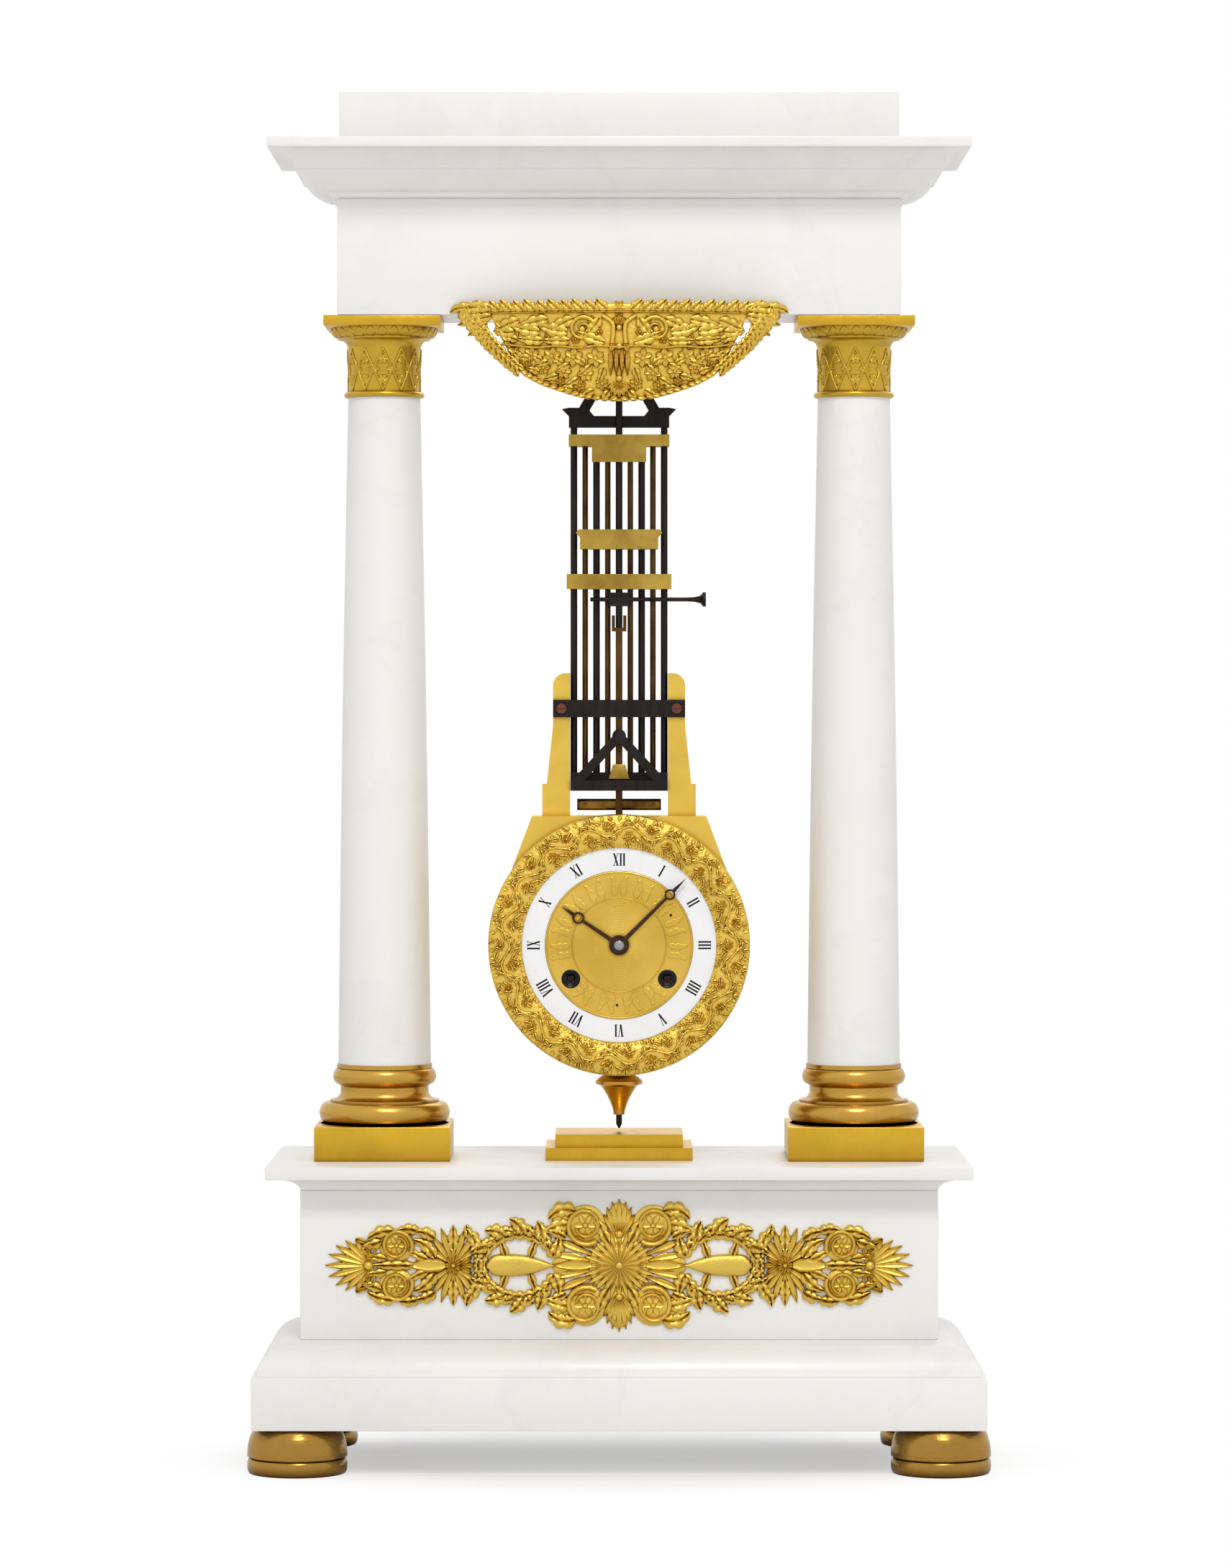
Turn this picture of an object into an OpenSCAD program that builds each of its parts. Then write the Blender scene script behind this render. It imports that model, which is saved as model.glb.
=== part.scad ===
// Portico clock: a marble portico of two columns, with a gridiron pendulum that
// carries the striking movement and its dial inside the bob.
// Millimetres. X to the right, Y to the back, Z up. The origin is on the table,
// under the middle of the clock.

/* [Base] */
// Distance between the two column axes
column_spacing = 206; // [204:0.5:220]
// Length of the base block beyond each column axis
base_end = 34.5; // [31:0.5:40]
// Depth of the base block
base_depth = 95; // [86:1:110]
// Height of a foot
foot_h = 20; // [16:0.5:26]
// Radius of a foot
foot_r = 21.6; // [18:0.2:23]
// Distance from a foot's axis to the edges of the lower plinth
foot_inset = 18.8; // [16:0.2:24]
// Radius of the stud that holds a foot
foot_stud_r = 3; // [2:0.5:5]
// Height of the lower plinth's plain face
plinth_face_h = 23; // [16:0.5:30]
// Height of the moulding above that face
plinth_moulding_h = 14; // [8:0.5:20]
// How far the lower plinth stands out from the base block
plinth_projection = 20; // [14:0.5:24]
// Height of the base block
dado_h = 64.5; // [56:0.5:80]
// Height of the hollow under the top slab's edge
slab_hollow_h = 5.5; // [4:0.5:9]
// Height of the top slab's edge
slab_edge_h = 5.5; // [3:0.5:8]
// How far the top slab stands out from the base block
slab_overhang = 14.3; // [10:0.1:18]

/* [Columns] */
// Width of the square block under a column
column_block_w = 59; // [56:0.5:62]
// Height of that block
column_block_h = 15; // [10:0.5:20]
// Height of the turned column base
column_base_h = 26; // [20:0.5:32]
// Length of the marble shaft
shaft_h = 292; // [284:1:320]
// Shaft radius at the bottom
shaft_foot_r = 20.3; // [18:0.1:21]
// Shaft radius at the top
shaft_top_r = 15.8; // [14:0.1:17]
// Height of the capital below its square top plate
capital_h = 30.4; // [28:0.1:38]
// Height of the square top plate
abacus_h = 4.5; // [4:0.1:8]
// Width of the square top plate
abacus_w = 51; // [47:0.5:54]
// Radius of the rod that clamps a column
tie_r = 3; // [2:0.5:4]

/* [Entablature] */
// Length of the frieze beyond each column axis
frieze_end = 19.3; // [16:0.1:24]
// Depth of the frieze
frieze_depth = 52; // [46:0.5:60]
// Height of the frieze
frieze_h = 50.5; // [40:0.5:60]
// Height of the cornice
cornice_h = 24; // [18:0.5:30]
// How far the cornice stands out from the frieze
cornice_overhang = 29; // [22:0.5:34]
// Height of the attic block
attic_h = 22.4; // [16:0.1:34]
// How far the attic block stands in from the frieze
attic_inset = 0.8; // [0:0.1:5]

/* [Gilt mounts] */
// Width of the lambrequin under the frieze
lambrequin_w = 149; // [130:1:150]
// Drop of the lambrequin below the frieze
lambrequin_drop = 39.5; // [34:0.5:42]
// Rise of the lambrequin over the frieze's face
lambrequin_rise = 5.5; // [4:0.5:10]
// How far the lambrequin bulges forward
lambrequin_bulge = 14; // [8:0.5:18]
// Width of the mount on the base block
base_mount_w = 254; // [230:1:260]
// Height of that mount
base_mount_h = 58; // [48:0.5:60]
// Thickness of that mount
base_mount_t = 3.5; // [2:0.1:5]
// Width of the index block under the pointer
index_w = 64; // [56:0.5:70]
// Depth of the index block
index_d = 50; // [40:0.5:60]
// Height of each of its two steps
index_step_h = 5.6; // [3:0.1:5.8]
// Set-back of its upper step
index_step_in = 4.2; // [3:0.1:6]

/* [Pendulum] */
// Distance from the frieze down to the knife edge
knife_drop = 15.7; // [14:0.1:18]
// Distance from the knife edge down to the hanger bar's underside
hanger_drop = 32; // [31.5:0.5:35]
// Distance between neighbouring rods
rod_pitch = 4.95; // [4.6:0.05:5]
// Radius of a steel rod
steel_rod_r = 1.5; // [1.2:0.05:1.7]
// Radius of a brass rod
brass_rod_r = 1.25; // [1:0.05:1.6]
// Distance from the knife edge down to the top bridge's upper face
top_bridge_drop = 35.5; // [34:0.5:38]
// Distance from the knife edge down to the upper cross bar's upper face
upper_bar_drop = 77; // [70:0.5:82]
// Distance from the knife edge down to the lower cross bar's upper face
lower_bar_drop = 96.5; // [95:0.5:99]
// Distance from the knife edge down to the beat screw
beat_screw_drop = 107.5; // [107:0.5:111]
// Length of the beat screw to the right of the reaction rod
beat_screw_l = 38; // [34:0.5:40]
// Distance from the dial centre up to the strap's middle
strap_rise = 103; // [100:0.5:106]

/* [Bob] */
// Gap between the pointer's tip and the index block
pointer_gap = 1.3; // [0.5:0.1:3]
// How far the ornamented bezel stands out beyond the case
bezel_overhang = 1.6; // [1:0.1:3]
// Inner radius of the bezel
bezel_in_r = 42.4; // [41:0.1:44]
// Inner radius of the enamel chapter ring
chapter_in_r = 32.2; // [30:0.1:34]
// Radius of the bob's case
case_r = 55.4; // [54.4:0.1:56]
// Wall of the case
case_wall = 1.6; // [1:0.1:2]
// Half width of the case's shoulders
shoulder_w = 38; // [36:0.5:42]
// Half width across the feet of the case's two brackets
bracket_foot_x = 33.6; // [33:0.1:36]
// Height of the case's top over the dial centre
shoulder_h = 56; // [55.8:0.1:57]
// Depth of the case
case_depth = 42; // [41:0.5:46]
// Length of the pointer under the bob, from the case to its tip
pointer_l = 26; // [22:0.5:26]

/* [Movement] */
// Sideways distance of the winding squares from the dial centre
winding_x = 21; // [21:0.1:21.4]
// Drop of the winding squares below the dial centre
winding_drop = 14.7; // [14.2:0.1:15.2]
// Radius of the movement plates
plate_r = 45; // [44:0.5:47]
// Thickness of the movement plates
plate_t = 1.6; // [1.2:0.1:2]
// Radius of a spring barrel
barrel_r = 18.5; // [16:0.1:19]
// Module of the barrel wheels
barrel_module = 0.5; // [0.5:0.005:0.505]
// Radius of a train arbor
arbor_r = 0.9; // [0.8:0.05:1]
// Radius of a pivot
pivot_r = 0.6; // [0.4:0.05:0.7]
// Length of the minute hand
minute_hand_l = 41.5; // [36:0.5:44]
// Length of the hour hand
hour_hand_l = 30.3; // [24:0.1:33]

/* [Hidden] */
$fn = 96;

// Colours
MARBLE = [0.93, 0.92, 0.90];
GILT = [0.83, 0.62, 0.16];
BRASS = [0.80, 0.64, 0.28];
STEEL = [0.10, 0.09, 0.09];
ENAMEL = [0.96, 0.97, 1.00];
BLUED = [0.16, 0.10, 0.08];

// Clearances
free_gap = 0.1;       // round a rod or stud that only passes through
running_gap = 0.05;   // radial clearance of a pivot in its hole
touch_gap = 0.3;      // between curved faces that move past each other

// Widths and heights of the marble, from the table up
base_w = column_spacing + 2 * base_end;
lower_w = base_w + 2 * plinth_projection;
lower_d = base_depth + 2 * plinth_projection;
frieze_w = column_spacing + 2 * frieze_end;
z_plinth = foot_h;
z_dado = z_plinth + plinth_face_h + plinth_moulding_h;
z_slab = z_dado + dado_h;
z_base = z_slab + slab_hollow_h + slab_edge_h;
z_column_base = z_base + column_block_h;
z_shaft = z_column_base + column_base_h;
z_capital = z_shaft + shaft_h;
z_frieze = z_capital + capital_h + abacus_h;
z_cornice = z_frieze + frieze_h;
z_attic = z_cornice + cornice_h;

// Fastenings of the marble
foot_stud_l = 14;
nut_r = 6.5;
nut_h = 5;
nut_pocket_r = 8;
nut_pocket_h = 9;

// Heights of the pendulum
z_knife = z_frieze - knife_drop;
bob_rise = 2 * index_step_h + pointer_gap + pointer_l + case_r;
z_bob = z_base + bob_rise;
z_hanger_bar = z_knife - hanger_drop;
z_beat_screw = z_knife - beat_screw_drop;
bottom_bar_gap = 11;  // between the case's top and the bottom bar
z_bottom_bar = z_bob + shoulder_h + bottom_bar_gap;
bottom_bar_h = 8;

// Depths of the pendulum: the rods stand in the plane y = 0, the crutch swings
// in front of them, and the bars have a front plate in front of the crutch
bar_back = 2.5;
crutch_y0 = -7;
crutch_y1 = -4;
crutch_y = (crutch_y0 + crutch_y1) / 2;
plate_y0 = -10.5;
plate_y1 = -8;
steel_at = [-4, -2, 0, 2, 4];
brass_at = [-3, -1, 1, 3];
outer_rod_x = 4 * rod_pitch;
bar_half_w = outer_rod_x + 2.2;

// Suspension: two cheeks with a V groove each, and the knife that lies in them
cheek_y0 = 8;
cheek_y1 = 12;
cheek_half_w = 12;
groove_angle = 60;    // half angle of the groove
knife_angle = 30;     // half angle of the knife edge
knife_h = 5;
arm_h = 8;            // height of the arm that holds the reaction rod
z_arm = z_knife - 18;
reaction_rod_r = 1.5;
reaction_pin_r = 1.2;
reaction_block = [9, 3, 6];
beat_screw_r = 0.9;
fork_gap = 0.6;       // each side of the reaction pin, in the crutch's fork
fork_h = 4;
z_fork = z_beat_screw - 9;

// Bob case, front to back
case_y0 = -20;
case_y1 = case_y0 + case_depth;
case_rim = 4;         // width of the case's front rim, which carries the dial
bezel_r = case_r + bezel_overhang;
bezel_t = 7;
dial_plate_t = 1.5;
dial_rise = 2.5;      // rise of the dial's centre over its back plate
chapter_t = 2.2;
dial_y0 = case_y0 - dial_plate_t - dial_rise;
bezel_y0 = case_y0 - bezel_t;
bracket_y0 = plate_y1;
bracket_y1 = 3;
bracket_top = 15.5;   // height of a bracket over the strap's middle
bracket_in = 0.5;     // how far a bracket reaches in under the bars' ends
bracket_in_x = bar_half_w - bracket_in;
bracket_w = 7.4;

// Movement, front to back
plate_front = -14.4;  // inner faces of the two plates
plate_back = 8.4;
end_shake = 0.15;
pillar_r = 2.5;
pillar_at = [0, 60, 180, 270];
pillar_ring_r = plate_r - 3.5;
dial_foot_r = 2;
dial_foot_ring_r = plate_r - 7;
dial_foot_at = [90, 210, 330];
bell_r = 27;
bell_at = [0, -8];
bell_post_r = 2;
bell_y0 = plate_back + plate_t + 3.8;
bell_h = 6.2;
bell_wall = 1.4;
bell_steps = 8;
bell_seat_y = bell_y0 + (bell_h - bell_wall) * cos(90 / bell_steps);

// Teeth and modules of the two trains
pressure_angle = 20;
barrel_teeth = 80;
barrel_pinion = 12;
intermediate_teeth = 70;
centre_pinion = 10;
intermediate_module = 0.4;
centre_teeth = 90;
third_pinion = 10;
centre_module = 0.32;
third_teeth = 90;
escape_pinion = 10;
third_module = 0.3;
escape_teeth = 42;
escape_r = 9.5;
second_teeth = 72;
pin_pinion = 10;
second_module = 0.36;
pin_teeth = 60;
warning_pinion = 10;
pin_module = 0.3;
warning_teeth = 50;
fly_pinion = 10;
warning_module = 0.28;
cannon_teeth = 12;
minute_teeth = 36;
minute_pinion = 10;
hour_teeth = 40;
motion_module = 0.5;
motion_distance = mesh(cannon_teeth, minute_teeth, motion_module);
hour_module = 2 * motion_distance / (minute_pinion + hour_teeth);

// Places of the arbors, from the dial centre, as [x, z]
centre_at = [0, 0];
going_at = [winding_x, -winding_drop];
strike_at = [-winding_x, -winding_drop];
barrel_distance = mesh(barrel_teeth, barrel_pinion, barrel_module);
intermediate_at = meet(
  centre_at, mesh(intermediate_teeth, centre_pinion, intermediate_module),
  going_at, barrel_distance);
third_at = polar(mesh(centre_teeth, third_pinion, centre_module), 125);
escape_at = [0, third_at[1] + sqrt(
  pow(mesh(third_teeth, escape_pinion, third_module), 2) - pow(third_at[0], 2))];
anchor_at = escape_at + [0, 1.42 * escape_r];
second_at = strike_at + polar(barrel_distance, 100);
pin_at = second_at + polar(mesh(second_teeth, pin_pinion, second_module), 85);
warning_at = pin_at + polar(mesh(pin_teeth, warning_pinion, pin_module), 40);
fly_at = warning_at + polar(mesh(warning_teeth, fly_pinion, warning_module), 110);
hammer_at = pin_at + polar(15.4, 201.6);
minute_at = [0, -motion_distance];
train_at = [intermediate_at, third_at, escape_at, anchor_at, second_at, pin_at,
  warning_at, fly_at, hammer_at];

// Levels of the wheels, as [front, back]
barrel_level = [-11, 1];
great_level = [1, 3];
great_pinion_level = [0.6, 3.4];
second_level = [5, 6.2];
second_pinion_level = [4.6, 6.5];
third_level = [6.75, 7.75];
third_pinion_level = [6.6, 7.9];
centre_level = [-13.8, -12.6];
centre_pinion_level = [-14, -12.2];
escape_level = [-2, -0.8];
pin_level = [2, 3.2];
pin_pinion_level = [1.7, 3.5];
warning_level = [-7, -6];
warning_pinion_level = [-7.4, -5.6];
cannon_level = [-17.9, -16.7];
hour_level = [-19.5, -18.3];
pin_count = 8;
pin_ring_r = 6.5;
pin_r = 0.5;
pin_end = 4.5;

// Winding arbors, hands and their collets
winding_arbor_r = 1.9;
winding_square = 2.7;
winding_hole_r = 3.4;
winding_end_y = dial_y0 + 1.2;
centre_arbor_r = 1.2;
cannon_r = 1.8;
hour_pipe_r = 2.8;
hour_hand_y = [dial_y0 - 1.6, dial_y0 - 0.9];
minute_hand_y = [dial_y0 - 2.9, dial_y0 - 2.2];
hand_collet_r = 4.4;
hour_clock_angle = 303.75;  // where the hands stand, clockwise from twelve
minute_clock_angle = 45;

// Distance between the axes of two meshed gears
function mesh(n1, n2, m) = m * (n1 + n2) / 2;

// Point at a distance and an angle from the origin
function polar(r, a) = r * [cos(a), sin(a)];

// Point at ra from a and rb from b, on the left of the line from a to b
function meet(a, ra, b, rb) =
  let (d = norm(b - a), u = (b - a) / d)
  let (s = (ra * ra - rb * rb + d * d) / (2 * d))
  a + s * u + sqrt(ra * ra - s * s) * [-u[1], u[0]];

// Direction from a to b
function towards(a, b) = atan2(b[1] - a[1], b[0] - a[0]);

// Involute angle at radius r of the base circle rb
function involute(rb, r) =
  let (a = acos(min(1, rb / r))) tan(a) * 180 / PI - a;

// Half angle of a tooth at radius r
function tooth_half(n, share, rp, rb, r) =
  180 / n * share + involute(rb, rp) - involute(rb, max(r, rb));

// Quarter curve that leaves [x0, z0] level and arrives at [x1, z1] upright,
// flattened towards its chord by a share
function ovolo(x0, z0, x1, z1, flat = 0, steps = 10) =
  [for (i = [0:steps])
    let (t = i / steps, a = 90 * t)
    [x0 + (x1 - x0) * (flat * t + (1 - flat) * sin(a)),
     z0 + (z1 - z0) * (flat * t + (1 - flat) * (1 - cos(a)))]];

// Quarter curve that leaves [x0, z0] upright and arrives at [x1, z1] level
function cavetto(x0, z0, x1, z1, steps = 10) =
  [for (i = [0:steps])
    let (a = 90 * i / steps)
    [x0 + (x1 - x0) * (1 - cos(a)), z0 + (z1 - z0) * sin(a)]];

// Half round from [x, z0] to [x, z1] that swells to radius x + swell
function torus(x, z0, z1, swell, steps = 12) =
  [for (i = [0:steps])
    let (a = -90 + 180 * i / steps)
    [x + swell * cos(a), (z0 + z1) / 2 + (z1 - z0) / 2 * sin(a)]];

// Block with its middle on the Z axis
module block(w, d, h) {
  translate([-w / 2, -d / 2, 0]) cube([w, d, h]);
}

// Rectangular block whose four sides all have the profile [out, z], mitred
module moulded_block(w, d, profile) {
  right = [for (p = profile) [p[0], p[1]]];
  left = [for (i = [len(profile) - 1:-1:0]) [-profile[i][0], profile[i][1]]];
  reach = 2 * (w + d);
  intersection() {
    rotate([90, 0, 0]) linear_extrude(reach, center = true)
      polygon(concat(
        [for (p = right) p + [w / 2, 0]], [for (p = left) p - [w / 2, 0]]));
    rotate([90, 0, 90]) linear_extrude(reach, center = true)
      polygon(concat(
        [for (p = right) p + [d / 2, 0]], [for (p = left) p - [d / 2, 0]]));
  }
}

// Front-view outline in [x, z], given depth from y0 back to y1
module depth(y0, y1) {
  translate([0, y1, 0]) rotate([90, 0, 0]) linear_extrude(y1 - y0) children();
}

// Round bar along Y
module bar_y(r, y0, y1) {
  translate([0, y1, 0]) rotate([90, 0, 0]) cylinder(r = r, h = y1 - y0);
}

// Round body turned about the Y axis, from a profile in [r, y]
module turned_y(profile) {
  rotate([-90, 0, 0]) rotate_extrude() polygon(profile);
}

// Places a child at [x, z] from the dial centre
module at_dial(p) {
  translate([p[0], 0, z_bob + p[1]]) children();
}

// Places a child on both column axes
module both_columns() {
  for (side = [-1, 1]) translate([side * column_spacing / 2, 0, 0]) children();
}

// Straight strip in the plane of a front view
module strip(a, b, w) {
  translate(a) rotate(towards(a, b)) translate([0, -w / 2])
    square([norm(b - a), w]);
}

// Marble base

module lower_plinth() {
  edge = 2;
  profile = concat(
    [[plinth_projection, 0], [plinth_projection, plinth_face_h]],
    cavetto(plinth_projection - edge, plinth_face_h,
      0, plinth_face_h + plinth_moulding_h));
  color(MARBLE) difference() {
    translate([0, 0, z_plinth]) moulded_block(base_w, base_depth, profile);
    four_feet() translate([0, 0, z_plinth - 1])
      cylinder(r = foot_stud_r + free_gap, h = foot_stud_l + 1 + free_gap);
  }
}

module dado_block() {
  color(MARBLE) difference() {
    translate([0, 0, z_dado]) block(base_w, base_depth, dado_h);
    both_columns() translate([0, 0, z_slab - nut_pocket_h])
      cylinder(r = nut_pocket_r, h = nut_pocket_h + 1);
  }
}

module upper_slab() {
  edge = 2;
  profile = concat(
    cavetto(0, 0, slab_overhang - edge, slab_hollow_h),
    [[slab_overhang, slab_hollow_h], [slab_overhang, slab_hollow_h + slab_edge_h]]);
  color(MARBLE) difference() {
    translate([0, 0, z_slab]) moulded_block(base_w, base_depth, profile);
    both_columns() tie_bore(z_slab, z_base);
  }
}

// Bore for a tie rod, past both faces
module tie_bore(z0, z1) {
  translate([0, 0, z0 - 1]) cylinder(r = tie_r + free_gap, h = z1 - z0 + 2);
}

// Places a child on the four foot axes
module four_feet() {
  for (x = [-1, 1], y = [-1, 1])
    translate([x * (lower_w / 2 - foot_inset), y * (lower_d / 2 - foot_inset), 0])
      children();
}

module feet() {
  groove_h = 0.34 * foot_h;
  top_r = 0.77 * foot_r;
  profile = concat(
    [[0, 0]],
    torus(foot_r - 1.2, 0, groove_h, 1.2),
    [[foot_r - 1.4, groove_h], [foot_r - 1.4, groove_h + 0.6]],
    [for (i = [0:10])
      let (a = 90 * i / 10)
      [top_r + (foot_r - top_r) * cos(a),
       groove_h + 0.6 + (foot_h - groove_h - 0.6) * sin(a)]],
    [[foot_stud_r, foot_h], [foot_stud_r, foot_h + foot_stud_l], [0, foot_h + foot_stud_l]]);
  color(GILT) four_feet() rotate_extrude() polygon(profile);
}

// Gilt mount on the base block: a palmette between scrolls and rosettes
module base_mount() {
  mid_r = base_mount_h / 2;
  half = base_mount_w / 2;
  petals = 12;
  core = 0.55 * mid_r;
  color(GILT) translate([0, 0, z_dado + dado_h / 2])
    depth(-base_depth / 2 - base_mount_t, -base_depth / 2) {
      circle(r = core);
      for (i = [0:petals - 1]) {
        tip = polar(mid_r - 3, 90 + 360 * i / petals);
        strip(polar(0, 0), tip, 5);
        translate(tip) circle(r = 3);
      }
      for (side = [-1, 1]) scale([side, 1]) mount_wing(mid_r, half);
    }
}

// One half of that mount: a stem with scrolls on both sides and a leaf at its end
module mount_wing(mid_r, half) {
  stem = 6;
  scrolls = [[0.34, 0.50], [0.49, 0.56], [0.64, 0.46], [0.78, 0.36]];
  translate([0, -stem / 2]) square([half - stem, stem]);
  for (s = scrolls, up = [-1, 1]) {
    r = s[1] * mid_r / 2;
    translate([s[0] * half, up * r]) difference() {
      circle(r = r + 1.5);
      translate([0, up]) circle(r = r - 4);
    }
  }
  for (s = scrolls) translate([(s[0] + 0.075) * half, 0]) circle(r = 0.34 * s[1] * mid_r + 2);
  translate([half - stem, 0]) circle(r = stem);
  strip([0.86 * half, -6], [half - stem, 0], 5);
  strip([0.86 * half, 6], [half - stem, 0], 5);
}

// Columns

module column_blocks() {
  color(GILT) both_columns() difference() {
    translate([0, 0, z_base]) block(column_block_w, column_block_w, column_block_h);
    tie_bore(z_base, z_column_base);
  }
}

// Turned column base: a spreading ring, a hollow and an upper ring
module column_base() {
  ring_r = column_block_w / 2 - 0.3;
  h = column_base_h;
  waist_r = shaft_foot_r - 1;
  profile = concat(
    [[tie_r + free_gap, 0], [ring_r - 1, 0]],
    torus(ring_r - 3.5, 0, 0.36 * h, 3.4),
    [[waist_r + 4.5, 0.36 * h], [waist_r + 4.5, 0.4 * h]],
    [for (i = [0:8])
      let (a = 90 * i / 8)
      [waist_r + 4 * (1 - sin(a)), (0.4 + 0.15 * (1 - cos(a))) * h]],
    [[waist_r, 0.62 * h], [waist_r + 0.9, 0.66 * h]],
    torus(waist_r + 0.9, 0.66 * h, 0.93 * h, 2.4),
    [[shaft_foot_r + 0.6, 0.93 * h], [shaft_foot_r + 0.6, h], [tie_r + free_gap, h]]);
  color(GILT) translate([0, 0, z_column_base]) rotate_extrude() polygon(profile);
}

module column_base_left() {
  translate([-column_spacing / 2, 0, 0]) column_base();
}

module column_base_right() {
  translate([column_spacing / 2, 0, 0]) column_base();
}

// Marble shaft that swells a little on its way up
module column_shaft() {
  steps = 16;
  swell = 0.45;
  outside = [for (i = [0:steps])
    let (t = i / steps)
    [shaft_foot_r + (shaft_top_r - shaft_foot_r) * t + swell * sin(180 * t),
     shaft_h * t]];
  profile = concat(
    [[tie_r + free_gap, 0]], outside, [[tie_r + free_gap, shaft_h]]);
  color(MARBLE) translate([0, 0, z_shaft]) rotate_extrude() polygon(profile);
}

module column_shaft_left() {
  translate([-column_spacing / 2, 0, 0]) column_shaft();
}

module column_shaft_right() {
  translate([column_spacing / 2, 0, 0]) column_shaft();
}

// Capital: a bead, a tall neck, a spreading echinus and a square plate
module capital() {
  bead_h = 0.085 * capital_h;
  bead_in = 0.4;
  bead_swell = 1.4;
  neck_over = 0.2;      // neck beyond the shaft's top
  neck_gap = 0.3;       // between the bead and the neck
  neck_spread = 0.5;
  flare_out = 3.6;
  fillet_out = 4.2;
  echinus_out = 4.6;
  top_in = 2.2;         // echinus inside the square plate
  neck_r = shaft_top_r + neck_over;
  flare_z = 0.70 * capital_h;
  fillet_z = 0.84 * capital_h;
  echinus_z = 0.87 * capital_h;
  top_r = abacus_w / 2 - top_in;
  profile = concat(
    [[tie_r + free_gap, 0], [shaft_top_r, 0]],
    torus(neck_r + bead_in, 0, bead_h, bead_swell),
    [[neck_r, bead_h + neck_gap], [neck_r + neck_spread, flare_z]],
    cavetto(neck_r + neck_spread, flare_z, neck_r + flare_out, fillet_z, 6),
    [[neck_r + fillet_out, fillet_z], [neck_r + fillet_out, echinus_z]],
    ovolo(neck_r + echinus_out, echinus_z, top_r, capital_h, 0.2),
    [[tie_r + free_gap, capital_h]]);
  color(GILT) translate([0, 0, z_capital]) {
    rotate_extrude() polygon(profile);
    difference() {
      translate([0, 0, capital_h]) block(abacus_w, abacus_w, abacus_h);
      tie_bore(capital_h, capital_h + abacus_h);
    }
  }
}

module capital_left() {
  translate([-column_spacing / 2, 0, 0]) capital();
}

module capital_right() {
  translate([column_spacing / 2, 0, 0]) capital();
}

// Rods through the columns, with a hexagon nut under the slab and over the frieze
module tie_rods() {
  color(STEEL) both_columns() {
    translate([0, 0, z_slab - nut_h]) cylinder(r = tie_r, h = z_cornice - z_slab + 2 * nut_h);
    for (z = [z_slab - nut_h, z_cornice])
      translate([0, 0, z]) cylinder(r = nut_r, h = nut_h, $fn = 6);
  }
}

// Entablature

module frieze_block() {
  color(MARBLE) difference() {
    translate([0, 0, z_frieze]) block(frieze_w, frieze_depth, frieze_h);
    both_columns() tie_bore(z_frieze, z_cornice);
  }
}

module cornice() {
  o = cornice_overhang;
  h = cornice_h;
  bead_h = 0.10 * h;
  step_z = 0.47 * h;
  edge_z = 0.82 * h;
  profile = concat(
    ovolo(0, 0, 0.13 * o, bead_h, 0.15),
    ovolo(0.17 * o, bead_h, 0.58 * o, step_z, 0.5),
    cavetto(0.62 * o, step_z, 0.87 * o, edge_z),
    [[o, edge_z], [o, h]]);
  color(MARBLE) difference() {
    translate([0, 0, z_cornice]) moulded_block(frieze_w, frieze_depth, profile);
    both_columns() translate([0, 0, z_cornice - 1])
      cylinder(r = nut_pocket_r, h = nut_pocket_h + 1);
  }
}

module attic_block() {
  color(MARBLE) translate([0, 0, z_attic])
    block(frieze_w - 2 * attic_inset, frieze_depth - 2 * attic_inset, attic_h);
}

// Gilt lambrequin: a bowl seen from the side, that hides the suspension
module lambrequin() {
  half = lambrequin_w / 2;
  drop = lambrequin_drop;
  bowl_half = 0.83 * half;
  bowl_r = (bowl_half * bowl_half + drop * drop) / (2 * drop);
  ball_r = (half * half + lambrequin_bulge * lambrequin_bulge) / (2 * lambrequin_bulge);
  ear_r = 0.14 * drop + 2;
  front = -frieze_depth / 2;
  color(GILT) translate([0, 0, z_frieze]) intersection() {
    depth(front - lambrequin_bulge - 4, front) {
      intersection() {
        translate([0, bowl_r - drop]) circle(r = bowl_r);
        translate([-half, -drop]) square([lambrequin_w, drop + 0.5]);
      }
      translate([-0.9 * half, 0]) square([1.8 * half, lambrequin_rise]);
      for (side = [-1, 1]) {
        translate([side * (half - ear_r), 0]) circle(r = ear_r);
        translate([side * 0.80 * half, -0.24 * drop]) circle(r = ear_r);
      }
    }
    translate([0, front - lambrequin_bulge - 2 + ball_r, -drop / 2])
      sphere(r = ball_r, $fn = 4 * $fn);
  }
}

// Stepped index block under the pointer
module index_block() {
  d_in = 2 * index_step_in;
  color(GILT) translate([0, 0, z_base]) {
    block(index_w, index_d, index_step_h);
    translate([0, 0, index_step_h]) block(index_w - d_in, index_d - d_in, index_step_h);
  }
}

// Suspension

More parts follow.
